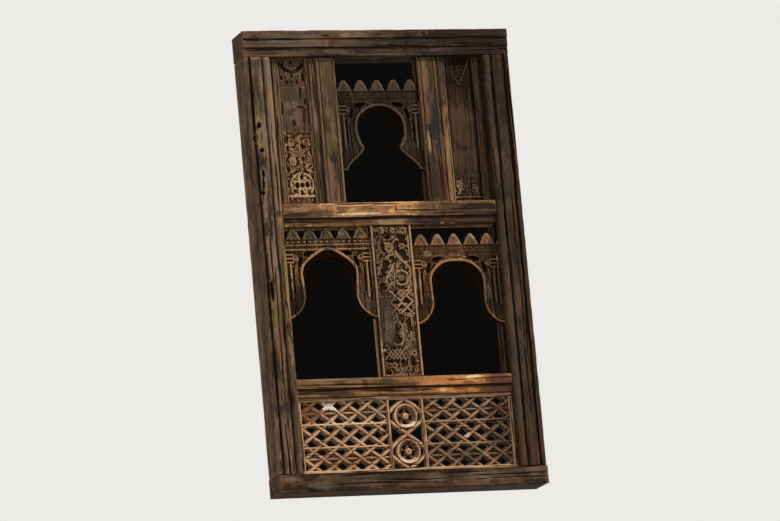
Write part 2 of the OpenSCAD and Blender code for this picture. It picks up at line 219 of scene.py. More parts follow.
def note_relief(obj):
    """Stores on each vertex how far it stands out of the smoothed surface, in millimetres, as relief."""
    rounds = 14
    mesh = obj.data
    n = len(mesh.vertices)
    co, normal = np.empty(n * 3), np.empty(n * 3)
    mesh.vertices.foreach_get("co", co)
    mesh.vertex_normals.foreach_get("vector", normal)
    co, normal = co.reshape(-1, 3), normal.reshape(-1, 3)
    edges = np.empty(len(mesh.edges) * 2, np.int32)
    mesh.edges.foreach_get("vertices", edges)
    a, b = edges.reshape(-1, 2).T
    count = np.maximum(np.bincount(a, minlength=n) + np.bincount(b, minlength=n), 1)
    smooth = co.copy()
    for _ in range(rounds):
        for k in range(3):
            v = smooth[:, k]
            around = np.bincount(a, v[b], n) + np.bincount(b, v[a], n)
            smooth[:, k] = 0.4 * v + 0.6 * around / count
    relief = ((co - smooth) * normal).sum(1) / mm
    layer = mesh.attributes.new("relief", "FLOAT", "POINT")
    layer.data.foreach_set("value", relief.astype(np.float32))


def plate(name, node, step, front, back, rings=(), slice_y=None):
    """A board with the CAD node's own outline, meshed on a grid of that step and fitted to the outline.
    front(x, z, d) and back(x, z, d) give the faces' y, where d is the distance from the outline.
    rings are (y, reach) down its walls, where a reach is how far from the middle the side walls stand."""
    low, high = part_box(node)
    segments = cut(node, 1, (low.y + high.y) / 2 if slice_y is None else slice_y)
    nx, nz = (int(math.ceil((high[i] - low[i]) / step)) for i in (0, 2))
    xs, zs = np.linspace(low.x, high.x, nx + 1), np.linspace(low.z, high.z, nz + 1)
    cell_x, cell_z = np.meshgrid((xs[1:] + xs[:-1]) / 2, (zs[1:] + zs[:-1]) / 2, indexing="ij")
    kept = to_outline(np.stack([cell_x.ravel(), cell_z.ravel()], 1), segments)[2].reshape(nx, nz)
    i, j = np.nonzero(kept)
    corner = i * (nz + 1) + j
    quads = np.stack([corner, corner + nz + 1, corner + nz + 2, corner + 1], 1)
    used, quads = np.unique(quads, return_inverse=True)
    quads = quads.reshape(-1, 4)
    p = np.stack([xs[used // (nz + 1)], zs[used % (nz + 1)]], 1)
    n = len(p)
    directed = np.stack([quads, np.roll(quads, -1, 1)], 2).reshape(-1, 2)
    key = directed.min(1) * n + directed.max(1)
    _, first, count = np.unique(key, return_index=True, return_counts=True)
    edges, rim = directed[first], directed[first[count == 1]]
    on_rim = np.zeros(n, bool)
    on_rim[rim] = True
    p = fit_to_outline(p, edges, rim, on_rim, segments)
    d = to_outline(p, segments)[0]
    d[on_rim] = 0
    p = p + worn_rim(p, rim, low.y)
    x, z = p[:, 0], p[:, 1]
    y_front, y_back = front(x, z, d), back(x, z, d)
    ring = np.nonzero(on_rim)[0]
    ring_of = np.full(n, -1)
    ring_of[ring] = np.arange(len(ring))
    middle = (segments[:, :, 0].min() + segments[:, :, 0].max()) / 2
    side = (segments[:, :, 0].max() - segments[:, :, 0].min()) / 2 - 1 * mm
    foot, top = segments[:, :, 1].min() + 1 * mm, segments[:, :, 1].max() - 1 * mm
    on_side = (np.abs(x[ring] - middle) > side) & (z[ring] > foot) & (z[ring] < top)
    points, layers = [xyz(x, y_front, z), xyz(x, y_back, z)], [ring]
    wall_shares = (0.07, 0.36, 0.64, 0.93)
    plain_rings = [(y_front + share * (y_back - y_front), None) for share in wall_shares]
    for y, reach in rings or plain_rings:
        wall_x = x[ring].copy()
        if reach is not None:
            wall_x[on_side] = middle + np.sign(wall_x[on_side] - middle) * reach
        wall_y = y if rings else y[ring]
        layers.append(2 * n + (len(layers) - 1) * len(ring) + np.arange(len(ring)))
        points.append(xyz(wall_x, wall_y, z[ring]))
    layers.append(ring + n)
    faces = [quads, quads[:, ::-1] + n]
    a, b = ring_of[rim[:, 0]], ring_of[rim[:, 1]]
    for upper, lower in zip(layers[:-1], layers[1:]):
        faces.append(np.stack([upper[b], upper[a], lower[a], lower[b]], 1))
    return add_mesh(name, np.concatenate(points), np.concatenate(faces))


def around_each(p, edges, n):
    """The sum of each point's neighbours along those edges, and how many there are."""
    total = np.stack([np.bincount(edges[:, 0], p[edges[:, 1], k], n)
                      + np.bincount(edges[:, 1], p[edges[:, 0], k], n) for k in (0, 1)], 1)
    return total, np.maximum(np.bincount(edges.ravel(), minlength=n), 1)[:, None]


def fit_to_outline(p, edges, rim, on_rim, segments):
    """Moves a grid's rim onto the outline, and evens out the cells beside it."""
    n = len(p)
    near_rim = on_rim.copy()
    for _ in range(2):
        near_rim[edges[near_rim[edges].any(1)]] = True
    moving = near_rim & ~on_rim
    for _ in range(6):
        around, degree = around_each(p, edges, n)
        beside, rim_degree = around_each(p, rim, n)
        p[moving] = (around / degree)[moving]
        target = (0.5 * p + 0.5 * beside / rim_degree)[on_rim]
        p[on_rim] = to_outline(target, segments)[1]
    return p


def worn_rim(p, rim, y):
    """How far the rim wanders inwards, as a worn edge does."""
    wander = 0.3 * mm
    tangent = np.zeros_like(p)
    for end in (0, 1):
        np.add.at(tangent, rim[:, end], p[rim[:, 1]] - p[rim[:, 0]])
    length = np.maximum(np.linalg.norm(tangent, axis=1), 1e-9)
    inward = np.stack([-tangent[:, 1], tangent[:, 0]], 1) / length[:, None]
    lumps = noise(xyz(p[:, 0], y, p[:, 1]), [9 * mm, 9 * mm, 14 * mm])
    chips = 2.2 * ramp(0.55, 0.9, noise(xyz(p[:, 0], y + 1, p[:, 1]), [16 * mm, 16 * mm, 22 * mm]))
    return inward * (wander * (1 + lumps + chips))[:, None]


def section_points(loop, front_y, y_index):
    """The section's loop with rounded outer corners, sampled finely near the front and coarsely behind.
    Returns the points, their outward normals and how near an outer corner each lies."""
    fine, coarse, fine_depth = 2.6 * mm, 9 * mm, 34 * mm
    round_r, straight, sharp = 2.2 * mm, 0.02, 0.6
    area = 0.5 * (loop[:, 0] * np.roll(loop[:, 1], -1) - loop[:, 1] * np.roll(loop[:, 0], -1)).sum()
    if area < 0:
        loop = loop[::-1]
    before, after = loop - np.roll(loop, 1, 0), np.roll(loop, -1, 0) - loop
    length_before, length_after = np.linalg.norm(before, axis=1), np.linalg.norm(after, axis=1)
    before, after = before / length_before[:, None], after / length_after[:, None]
    turn = np.arctan2(before[:, 0] * after[:, 1] - before[:, 1] * after[:, 0], (before * after).sum(1))
    outline, corners = [], []
    for k, point in enumerate(loop):
        if abs(turn[k]) < straight:
            continue
        r = min(round_r, 0.4 * length_before[k], 0.4 * length_after[k]) if turn[k] > sharp else 0
        if r > 0:
            mid = point + (after[k] - before[k]) * r * 0.3
            outline += [point - before[k] * r, mid, point + after[k] * r]
            corners.append(point)
        else:
            outline.append(point)
    outline = np.array(outline)
    points = []
    for a, b in zip(outline, np.roll(outline, -1, 0)):
        middle_y = ((a + b) / 2)[y_index]
        spacing = fine if middle_y < front_y + fine_depth else coarse
        length = np.linalg.norm(b - a)
        parts = max(1, int(round(length / spacing)))
        for i in range(parts):
            points.append(a + (b - a) * i / parts)
    points = np.array(points)
    tangent = np.roll(points, -1, 0) - np.roll(points, 1, 0)
    tangent /= np.linalg.norm(tangent, axis=1)[:, None]
    normals = np.stack([tangent[:, 1], -tangent[:, 0]], 1)
    corners = np.array(corners)
    near = np.linalg.norm(points[:, None] - corners, axis=2).min(1)
    return points, normals, near


def bar(name, node, axis, at, span, wear, dents, end_grain=False):
    """A timber with the CAD node's own section at `at`, drawn along axis over span.
    wear(p, near) is how far each surface point is worn inwards, where near is its distance from an outer
    corner of the section. dents(p) is how far a point of the front is pushed straight back. end_grain
    gives the ends faces of their own, which need a section that is all in view of its middle."""
    loop = longest_loop(cut(node, axis, at))
    front_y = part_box(node)[0].y
    y_index = 1 if axis == 2 else 0
    section, normals, near = section_points(loop, front_y, y_index)
    m = len(section)
    start, end = span
    spacing, end_wear, dents_fade, dents_end = 5 * mm, 1.6 * mm, 14 * mm, 26 * mm
    inner = np.linspace(start + 2 * mm, end - 2 * mm, int((end - start) / spacing))
    stations = np.concatenate([[start], inner, [end]])
    u, k = np.repeat(stations, m), np.tile(np.arange(m), len(stations))
    others = [i for i in range(3) if i != axis]
    p, out = np.empty((len(u), 3)), np.zeros((len(u), 3))
    p[:, axis], p[:, others], out[:, others] = u, section[k], normals[k]
    sink = wear(p, near[k]) + end_wear * ((u == start) | (u == end))
    back = dents(p) * ramp(front_y + dents_end, front_y + dents_fade, p[:, 1])
    p -= out * sink[:, None]
    p[:, 1] += back
    rows = np.arange(len(stations) - 1)[:, None] * m
    j, j2 = np.arange(m), (np.arange(m) + 1) % m
    quads = np.stack([rows + j, rows + j2, rows + m + j2, rows + m + j], 2).reshape(-1, 4)
    if not end_grain:
        return add_mesh(name, p, quads, [np.arange(m)[::-1], np.arange(m) + (len(stations) - 1) * m])
    quads = quads.tolist()
    for first, hand in ((0, -1), ((len(stations) - 1) * m, 1)):
        rim = first + np.arange(m)
        middle = p[rim].mean(0)
        for share in (0.97, 0.85, 0.68, 0.5, 0.33, 0.16):
            ring_points = middle + share * (p[first:first + m] - middle)
            ring_points[:, axis] -= hand * 0.8 * mm * (1 + noise(ring_points, [6 * mm] * 3))
            inner_rim = len(p) + np.arange(m)
            p = np.concatenate([p, ring_points])
            faces = np.stack([rim, np.roll(rim, -1), np.roll(inner_rim, -1), inner_rim], 1)
            quads += faces[:, ::hand].tolist()
            rim = inner_rim
        p = np.concatenate([p, [middle]])
        quads += [[a, b, len(p) - 1][::hand] for a, b in zip(rim, np.roll(rim, -1))]
    return add_mesh(name, p, quads)


# Wear and damage

def weathered(p, axis, near, strength=1.0):
    """How far a weathered timber lies under its new surface: long hollows, raised grain, soft corners."""
    hollows = 0.7 * (1 + noise(p, grain_size(axis, 45 * mm, 260 * mm)))
    grain = 0.55 * (1 + noise(p, grain_size(axis, 5 * mm, 90 * mm)))
    fine_grain = 0.25 * (1 + noise(p + 3.3, grain_size(axis, 2.6 * mm, 40 * mm)))
    corner = np.exp(-near / (3.5 * mm))
    chips = corner * (0.8 + 2.6 * ramp(0.15, 0.75, noise(p + 7.7, grain_size(axis, 12 * mm, 34 * mm))))
    return strength * mm * (hollows + grain + fine_grain + chips)


def cracks(u, v, seed, count, u_range, v_range, width, depth, length):
    """Long drying cracks that follow the grain: u runs along it and v across."""
    draw = np.random.default_rng(seed)
    sink = np.zeros(len(u))
    for _ in range(count):
        u0, v0 = draw.uniform(*u_range), draw.uniform(*v_range)
        half = length * draw.uniform(0.35, 1.0) / 2
        w, deep = width * draw.uniform(0.6, 1.2), depth * draw.uniform(0.5, 1.0)
        lean, sway, phase = draw.uniform(-0.01, 0.01), draw.uniform(1, 3) * mm, draw.uniform(0, 6)
        centre = v0 + lean * (u - u0) + sway * np.sin((u - u0) / (70 * mm) + phase)
        ends = np.clip(1 - np.abs(u - u0) / half, 0, 1) ** 0.5
        sink = np.maximum(sink, deep * ends * np.clip(1 - np.abs(v - centre) / (w * (0.3 + ends)), 0, 1))
    return sink


def pits(x, z, spots):
    """Round hollows at (x, z, radius across, radius up, depth), all in millimetres."""
    sink = np.zeros(len(x))
    for px, pz, rx, rz, depth in spots:
        r = np.hypot((x / mm - px) / rx, (z / mm - pz) / rz)
        r *= 1 + 0.3 * noise(xyz(x, px * mm, z), [7 * mm, 7 * mm, 12 * mm])
        sink = np.maximum(sink, depth * mm * ramp(1.2, 0.6, r))
    return sink


# Carving. Heights go from 0, the sunk ground, to 1, the old face. Sizes here are millimetres.

def round_top(d, width):
    """The height of a rounded ridge of that width at distance d from its middle line."""
    return np.sqrt(np.clip(1 - (2 * d / width) ** 2, 0, 1))


def arc_points(x, z, radius, start, end, steps=14):
    """Points on an arc from start to end, in degrees. radius may be a pair, from first to last point."""
    r0, r1 = radius if isinstance(radius, tuple) else (radius, radius)
    turns = [math.radians(start + (end - start) * i / steps) for i in range(steps + 1)]
    return [(x + (r0 + (r1 - r0) * i / steps) * math.cos(a), z + (r0 + (r1 - r0) * i / steps) * math.sin(a))
            for i, a in enumerate(turns)]


class Carving:
    """A carved field over points x, z. Each motif raises the ground where it is higher than what is there."""

    def __init__(self, x, z, ground=0.0):
        self.x, self.z = x, z
        self.h = np.full(len(x), float(ground))

    def near(self, x0, x1, z0, z1, margin):
        across = (self.x > x0 - margin) & (self.x < x1 + margin)
        return np.nonzero(across & (self.z > z0 - margin) & (self.z < z1 + margin))[0]

    def lift(self, height, where=slice(None)):
        self.h[where] = np.maximum(self.h[where], height)

    def line(self, points, width, top=1.0):
        """A rounded ridge along a path."""
        q = np.array(points, float)
        where = self.near(q[:, 0].min(), q[:, 0].max(), q[:, 1].min(), q[:, 1].max(), width)
        if not len(where):
            return
        p = np.stack([self.x[where], self.z[where]], 1)[:, None]
        a, along = q[:-1], np.diff(q, axis=0)
        t = np.clip(((p - a) * along).sum(2) / np.maximum((along ** 2).sum(1), 1e-9), 0, 1)
        d = np.sqrt(((p - a - t[:, :, None] * along) ** 2).sum(2)).min(1)
        self.lift(top * round_top(d, width), where)

    def leaf(self, x, z, angle, length, width, top=0.95):
        """A pointed leaf that grows from (x, z) at that angle, with a sunk midrib."""
        a = math.radians(angle)
        x1, z1 = x + length * math.cos(a), z + length * math.sin(a)
        where = self.near(min(x, x1), max(x, x1), min(z, z1), max(z, z1), width)
        dx, dz = self.x[where] - x, self.z[where] - z
        u = np.clip((dx * math.cos(a) + dz * math.sin(a)) / length, 0, 1)
        past = np.abs(dx * math.cos(a) + dz * math.sin(a) - u * length)
        v = dz * math.cos(a) - dx * math.sin(a)
        half = 0.5 * width * np.sin(math.pi * u ** 0.75) ** 0.8 + 0.01
        shape = np.clip(1 - (np.abs(v) + past) / half, 0, 1)
        rib = np.exp(-(v / 1.5) ** 2) * ramp(0.02, 0.3, u)
        self.lift(top * np.clip(shape * 2.2, 0, 1) * (1 - 0.5 * rib), where)

    def scroll(self, x, z, radius, start, hand, width=6.0):
        """A volute that winds inwards from its outer end at angle start, with a button in its eye."""
        turns = 1.35
        radii = (radius - width / 2, radius * 0.32)
        self.line(arc_points(x, z, radii, start, start + hand * 360 * turns, 26), width)
        self.button(x, z, radius * 0.26)

    def ring(self, x, z, radius, width):
        where = self.near(x, x, z, z, radius + width)
        r = np.hypot(self.x[where] - x, self.z[where] - z)
        self.lift(round_top(np.abs(r - radius), width), where)

    def button(self, x, z, radius):
        where = self.near(x, x, z, z, radius)
        r = np.hypot(self.x[where] - x, self.z[where] - z)
        self.lift(0.95 * round_top(r, 2 * radius), where)

    def flower(self, x, z, radius, petals, turn=0.0, top=0.95):
        """Petals round a drilled eye."""
        for i in range(petals):
            self.leaf(x, z, turn + i * 360 / petals, radius, radius * 5.2 / petals, top)
        self.drill(x, z, radius * 0.2)

    def vine(self, points, width, leaf_length, leaf_width, step):
        """A stem with leaves to either side by turns."""
        lean = 42
        self.line(points, width)
        q = np.array(points, float)
        along = np.concatenate([[0], np.cumsum(np.linalg.norm(np.diff(q, axis=0), axis=1))])
        for k, s in enumerate(np.arange(step / 2, along[-1], step)):
            i = min(int(np.searchsorted(along, s)) - 1, len(q) - 2)
            dx, dz = q[i + 1] - q[i]
            x, z = q[i] + (q[i + 1] - q[i]) * (s - along[i]) / (along[i + 1] - along[i])
            side = lean if k % 2 else -lean
            self.leaf(x, z, math.degrees(math.atan2(dz, dx)) + side, leaf_length, leaf_width)

    def groove(self, points, width, to=-0.2):
        """A rounded channel along a path, cut through what is there."""
        raised = self.h
        self.h = np.zeros(len(raised))
        self.line(points, width)
        self.h = raised + (np.minimum(to, raised) - raised) * self.h

    def drill(self, x, z, radius, to=-0.7):
        """A small round hole, sunk below the ground."""
        where = self.near(x, x, z, z, radius * 1.4)
        r = np.hypot(self.x[where] - x, self.z[where] - z)
        old = self.h[where]
        self.h[where] = old + (np.minimum(to, old) - old) * ramp(1.35 * radius, 0.75 * radius, r)

    def foliage(self, seed, x0, x1, z0, z1, pitch, top=0.55):
        """Small leaves at many angles, as a filling between the larger motifs."""
        draw = np.random.default_rng(seed)
        for gx in np.arange(x0 + pitch / 2, x1, pitch):
            for gz in np.arange(z0 + pitch / 2, z1, pitch):
                jx, jz = draw.uniform(-0.3, 0.3) * pitch, draw.uniform(-0.3, 0.3) * pitch
                angle = draw.uniform(0, 360)
                self.leaf(gx + jx, gz + jz, angle, pitch * draw.uniform(0.8, 1.1), pitch * 0.55, top)

    def shade(self, points, width, by=0.9):
        """Cuts the carving deeper along a path, softly at its sides, and keeps its leaves."""
        raised = self.h
        self.h = np.zeros(len(raised))
        self.line(points, width)
        self.h = raised - by * self.h ** 1.5

    def hollow(self, x0, z0, x1, z1, width, by):
        """Shades one short stroke from (x0, z0) to (x1, z1)."""
        self.shade([(x0, z0), (x1, z1)], width, by)

    def worn(self, x, z, wide, tall, share):
        """Flattens the carving round a place towards a middle height."""
        r = np.hypot((self.x - x) / (wide / 2), (self.z - z) / (tall / 2))
        fade = share * ramp(1.15, 0.6, r)
        self.h += (0.62 - self.h) * fade


def mullion_carving(x, z):
    """Leafy scrolls over the mullion, with a medallion, a knot of straps and a worn lower left part."""
    c = Carving(x, z, 0.3)
    c.foliage(3, -62, 62, 392, 908, 14, 0.85)
    c.foliage(4, -62, 62, 392, 908, 19, 0.8)
    broad, deep = 1.3, 1.35
    c.shade([(-25, 784), (-35, 759), (-43, 738)], broad * 17, deep)
    for x0, z0, x1, z1, width in (
            (-8, 804, 10, 802, 14), (17, 852, 17, 826, 15), (34, 826, 46, 800, 18), (42, 768, 46, 744, 14),
            (28, 718, 37, 700, 16), (-44, 704, -46, 692, 20), (33, 624, 40, 622, 18),
            (35, 580, 35, 568, 16), (-6, 624, -6, 610, 14), (-22, 530, -6, 514, 24),
            (-16, 454, -18, 438, 15), (-24, 886, -14, 878, 18), (26, 878, 42, 872, 14),
            (36, 860, 44, 854, 16), (-34, 844, -31, 834, 14), (2, 788, 3, 784, 13), (22, 786, 23, 782, 12),
            (35, 678, 36, 672, 16), (-1, 680, 1, 676, 14), (35, 654, 36, 650, 15), (-5, 648, -3, 646, 14),
            (12, 638, 12, 634, 13), (52, 638, 52, 634, 14), (12, 594, 12, 584, 17),
            (-21, 592, -21, 588, 14), (-9, 558, -9, 552, 15), (40, 553, 41, 546, 16),
            (-26, 484, -28, 478, 15), (-46, 472, -38, 470, 15), (-12, 470, -12, 466, 13),
            (-45, 450, -40, 446, 18), (5, 440, 8, 432, 17), (38, 452, 40, 432, 14),
            (-52, 408, -48, 404, 15)):
        c.hollow(x0, z0, x1, z1, broad * width, deep)
    for fx, fz, radius in ((-37, 899, 17), (6, 898, 12), (44, 897, 18)):
        c.flower(fx, fz, radius, 8, 0, 1.0)
    c.scroll(-14, 838, 20, 130, -1, 8)
    c.vine([(-42, 866), (-50, 842), (-44, 824), (-57, 804)], 8, 20, 12, 12)
    c.flower(-6, 818, 12, 5, 20, 1.0)
    c.leaf(-10, 812, 215, 32, 14)
    c.flower(35, 842, 14, 6, 0, 1.0)
    c.vine([(60, 880), (58, 850), (60, 802)], 7, 17, 11, 13)
    c.vine([(10, 824), (19, 804), (29, 794), (45, 779), (57, 764), (58, 744), (52, 726), (52, 706), (44, 690),
            (17, 672)], 9, 21, 13, 13)
    c.vine([(-42, 798), (-50, 770), (-60, 744)], 8, 20, 12, 12)
    c.vine([(2, 782), (-13, 756), (-25, 739), (-36, 718)], 9, 22, 13, 12)
    c.leaf(10, 764, 66, 30, 14)
    c.ring(24, 732, 25, 9)
    c.flower(24, 732, 13, 6, 0, 0.7)
    c.vine([(-14, 712), (-26, 698), (-36, 684)], 8, 20, 12, 12)
    for row in (0, 1):
        c.line([(-24, 686 - 42 * row), (14, 652 - 42 * row), (56, 690 - 42 * row)], 9)
        c.line([(-22, 650 - 42 * row), (17, 688 - 42 * row), (58, 648 - 42 * row)], 9)
    for fx, fz in ((17, 674), (54, 674), (-6, 660), (32, 636), (-3, 634), (10, 615), (60, 632)):
        c.flower(fx, fz, 10, 5, 10, 1.0)
    c.vine([(-5, 608), (-5, 582), (12, 564), (10, 532)], 9, 22, 13, 13)
    c.vine([(-5, 584), (-18, 570), (-34, 562)], 8, 18, 12, 12)
    c.leaf(30, 600, 5, 32, 18)
    c.leaf(50, 566, 95, 32, 13)
    c.line(arc_points(-10, 522, 23, 50, -130), 9)
    c.vine([(42, 542), (38, 512), (24, 490)], 8, 20, 12, 12)
    c.scroll(-40, 566, 18, 90, 1, 7)
    for k in range(-1, 3):
        c.line([(-44 + 14 * k, 450), (-16 + 14 * k, 484)], 6)
        c.line([(-44 + 14 * k, 484), (-16 + 14 * k, 450)], 6)
    for fx, fz, radius in ((-28, 428, 15), (-8, 412, 12), (22, 418, 15), (50, 412, 12), (46, 470, 15)):
        c.flower(fx, fz, radius, 6, 30, 1.0)
    c.worn(-44, 590, 80, 200, 0.65)
    c.worn(44, 500, 60, 110, 0.5)
    c.worn(0, 392, 160, 20, 0.7)
    return c.h


def left_panel_carving(x, z):
    """Buds under a cut V at the top, a worn middle, paired scrolls, and an open flower at the foot."""
    c = Carving(x, z, 0.3)
    mid = -297
    c.foliage(8, -352, -250, 1010, 1250, 14, 0.85)
    c.foliage(9, -352, -250, 1100, 1250, 19, 0.85)
    for stroke in (
            (-319, 1210, -321, 1192, 16, 1.3), (-283, 1206, -284, 1192, 16, 1.3),
            (-273, 1228, -256, 1223, 13, 0.9), (-308, 1158, -311, 1140, 14, 1.0),
            (-278, 1164, -260, 1138, 16, 1.5), (-284, 1118, -276, 1104, 13, 0.8),
            (-336, 1172, -339, 1156, 12, 0.9), (-342, 1226, -340, 1222, 21, 1.4),
            (-256, 1178, -256, 1175, 12, 1.1), (-338, 1197, -338, 1193, 13, 1.0),
            (-343, 1126, -338, 1116, 13, 0.9)):
        c.hollow(*stroke)
    c.line([(-352, 1026), (-250, 1026)], 12)
    c.flower(mid, 1065, 37, 8, 22, 0.95)
    c.ring(mid, 1066, 40, 9)
    for side in (-1, 1):
        c.leaf(mid + side * 42, 1108, 90 + side * 60, 30, 14)
        c.scroll(mid + side * 28, 1146, 18, 90 - side * 60, side, 8)
        c.scroll(mid + side * 28, 1216, 18, -90 + side * 60, -side, 8)
        c.leaf(mid, 1176, 90 - side * 62, 46, 15)
        c.leaf(mid, 1176, 270 + side * 62, 46, 15)
    c.vine([(mid, 1240), (mid, 1104)], 8, 16, 10, 12)
    c.vine([(-266, 1180), (-256, 1160), (-256, 1126)], 7, 14, 9, 12)
    for hx, hz, width, by in ((-315, 1064, 17, 1.6), (-279, 1066, 17, 1.6), (-297, 1091, 13, 1.2),
                              (-325, 1043, 13, 0.9), (-300, 1039, 13, 0.9), (-273, 1036, 13, 0.9)):
        c.hollow(hx, hz + 3, hx, hz - 3, width, by)
    plain = (z > 1250) & (z < 1410)
    c.h[plain] = 0.75
    for stroke in (
            (-276, 1404, -278, 1370, 13, 0.6), (-347, 1350, -347, 1316, 14, 0.7),
            (-290, 1338, -270, 1336, 10, 0.6), (-268, 1326, -272, 1288, 16, 0.5),
            (-308, 1288, -306, 1278, 16, 0.6), (-262, 1362, -263, 1350, 11, 0.6)):
        c.hollow(*stroke)
    c.line([(-340, 1258), (-340, 1398)], 5, 0.9)
    c.h[z > 1410] = 0.45
    c.foliage(5, -352, -250, 1410, 1508, 12, 0.75)
    c.leaf(-306, 1470, 112, 38, 18)
    c.leaf(-292, 1470, 70, 38, 16)
    c.shade([(-342, 1492), (-322, 1468), (-303, 1460), (-284, 1466), (-260, 1486)], 15, 0.9)
    for fx, fz, radius in ((-325, 1444, 12), (-280, 1446, 12), (-303, 1430, 11)):
        c.flower(fx, fz, radius, 6, 0, 1.0)
    for hx, hz, width in ((-341, 1442, 13), (-322, 1425, 12), (-286, 1426, 12), (-301, 1497, 11),
                          (-302, 1448, 10)):
        c.hollow(hx, hz + 2, hx, hz - 2, width, 0.9)
    c.hollow(-262, 1452, -262, 1434, 12, 1.1)
    return c.h


def right_panel_carving(x, z):
    """Remnants of the same carving, most of it weathered away."""
    c = Carving(x, z, 0.45)
    c.foliage(21, 250, 352, 1005, 1100, 15, 0.9)
    c.scroll(276, 1052, 22, 70, 1)
    c.scroll(322, 1040, 18, 110, -1)
    c.leaf(262, 1020, 60, 42, 14)
    c.line([(250, 1012), (352, 1012)], 7)
    c.foliage(22, 250, 352, 1400, 1508, 14, 0.85)
    c.line([(256, 1502), (300, 1408), (346, 1502)], 6)
    for row, count in enumerate((1, 2, 3)):
        for k in range(count):
            c.flower(300 + (k - (count - 1) / 2) * 26, 1432 + row * 25, 12, 6, 30 * row)
            c.drill(300 + (k - (count - 1) / 2) * 26, 1432 + row * 25, 3.6)
    for lx in (266, 334):
        c.line([(lx, 1110), (lx, 1396)], 5, 0.75)
    c.worn(300, 1220, 140, 330, 0.55)
    c.worn(270, 1470, 70, 90, 0.6)
    return c.h


def board_relief(x, z, d, half, upper, haunch, keel, crisp):
    """An arch board's face, x from its middle and z from its foot: 0 its ground, 1 the raised rims. A ridge
    runs round the opening at `haunch` from its middle, or haunch + keel over its crown. crisp says how much
    of the mouldings the weather has left."""
    c = Carving(x, z, 0.45)
    ax = np.abs(x)
    c.foliage(13, -half, half, 90, 238, 13, 0.75)
    # Where the arch springs, how far the ridge's feet stand from the middle, and where its curve starts
    spring, ridge_foot, arch_foot = (135, 88.5, 84) if upper else (124, 97.5, 124)
    straight_foot = 88
    r = np.hypot(x, z - spring)
    turn = np.degrees(np.arctan2(z - spring, ax))
    ridge = ridge_foot + (haunch - ridge_foot) * ramp(0, 38, turn) + keel * ramp(58, 92, turn)
    for side in (-1, 1):
        c.scroll(side * (half - 40), 216, 14, 90 + side * 90, side, 6)
        c.leaf(side * 40, 238, 90 + side * 100, 34, 10)
        c.leaf(side * (half - 42), 196, 270 + side * 10, 40, 12)
        c.line([(side * (half - 20), 78), (side * (half - 20), 198)], 10)
        for k in range(3):
            c.line([(side * (half - 31), 201.5 + 13 * k), (side * half, 201.5 + 13 * k)], 8)
        c.groove([(side * 55, 237), (side * 80, 229)], 14, -1.0)
        c.groove([(side * 98, 214), (side * 104, 190)], 13, -0.9)
        c.groove([(side * (half - 30), 180), (side * (half - 30), 100)], 6, 0.0 if side < 0 else -0.4)
    # A deep cove inside the ridge over the opening, cut so deep that the carving's painted depth shade makes
    # it near black.
    cove = (r < ridge - 4) & (z > spring - 10)
    c.h[cove] = (0.45 - 1.3 * ramp(spring - 10, spring + 30, z))[cove]
    c.lift(round_top(np.abs(r - ridge), 12) * (z > arch_foot))
    if not upper:
        c.lift(round_top(np.abs(ax - ridge_foot), 9) * (z < arch_foot) * (z > straight_foot))
    c.lift(0.9 * round_top(np.abs(d - 6), 8) * ramp(spring + 5, spring - 25, z))
    c.lift((0.45 + 0.55 * crisp) * round_top(np.abs(z - LOWER_MOULDING), 10))
    c.lift((0.45 + 0.5 * crisp) * round_top(np.abs(z - UPPER_MOULDING), 8))
    c.lift(round_top(np.abs(ax - half + 3.8), 8) * (z > 70) * (z < 240))
    bead = np.abs((x + 10) % 20 - 10) * 0.8 + np.abs(z - BEAD_ROW)
    c.lift((0.5 + 0.4 * crisp) * np.clip((6 - bead) / 2, 0, 1))
    for k in range(-9, 10):
        c.drill(k * 18 + 9, HOLE_ROW, 2.2, 0.45 - 0.8 * crisp)
    half_pitch = MERLON_PITCH / 2
    merlon = np.abs((x + half_pitch) % MERLON_PITCH - half_pitch)
    up = z - CREST_FOOT
    inset = (MERLON_H - up - MERLON_SLOPE * merlon) / math.hypot(1, MERLON_SLOPE)
    above = ramp(-1, 2, up)
    c.h = c.h + (0.85 - c.h) * above * (1 - 0.5 * crisp)
    c.lift(round_top(np.abs(inset - 3.5), 9) * above)
    c.lift(0.7 * np.clip((inset - 9) / 2, 0, 1) * above)
    return c.h


def strap_lines():
    """The angle of the slanting straps and the distance between two that run side by side."""
    angle = math.atan2(STRAP_RISE, STRAP_PITCH)
    return angle, STRAP_PITCH * math.sin(angle)


def strapwork(x, z, left, right, mid, tall):
    """A side field: two families of slanting straps that pass over and under, on lower level straps."""
    angle, pitch = strap_lines()
    across = (x - left - STRAP_START) * math.sin(angle)
    climb = (z - mid) * math.cos(angle)
    # How many straps of either family lie before a point, and which strap of each is the nearest
    a, b = (across - climb) / pitch, (across + climb) / pitch
    i, j = np.round(a), np.round(b)
    best = np.full(len(x), -1.0)
    for share, nearest, over in ((a, i, np.cos(math.pi * (b + i))), (b, j, -np.cos(math.pi * (a + j)))):
        d = np.abs(share - nearest) * pitch
        height = 0.18 + 0.62 * round_top(d, CREST_W) + 0.1 * over
        best = np.maximum(best, np.where(d < STRAP_W / 2 + 1, height, -1))
    for k, top in LEVEL_ROWS:
        d = np.abs(z - mid - LEVEL_STEP * k)
        best = np.maximum(best, np.where(d < LEVEL_W / 2 + 1, 0.14 + top * round_top(d, 9), -1))
    inside = (x > left) & (x < right) & (np.abs(z - mid) < tall / 2)
    return np.where(inside, best, 0.9)


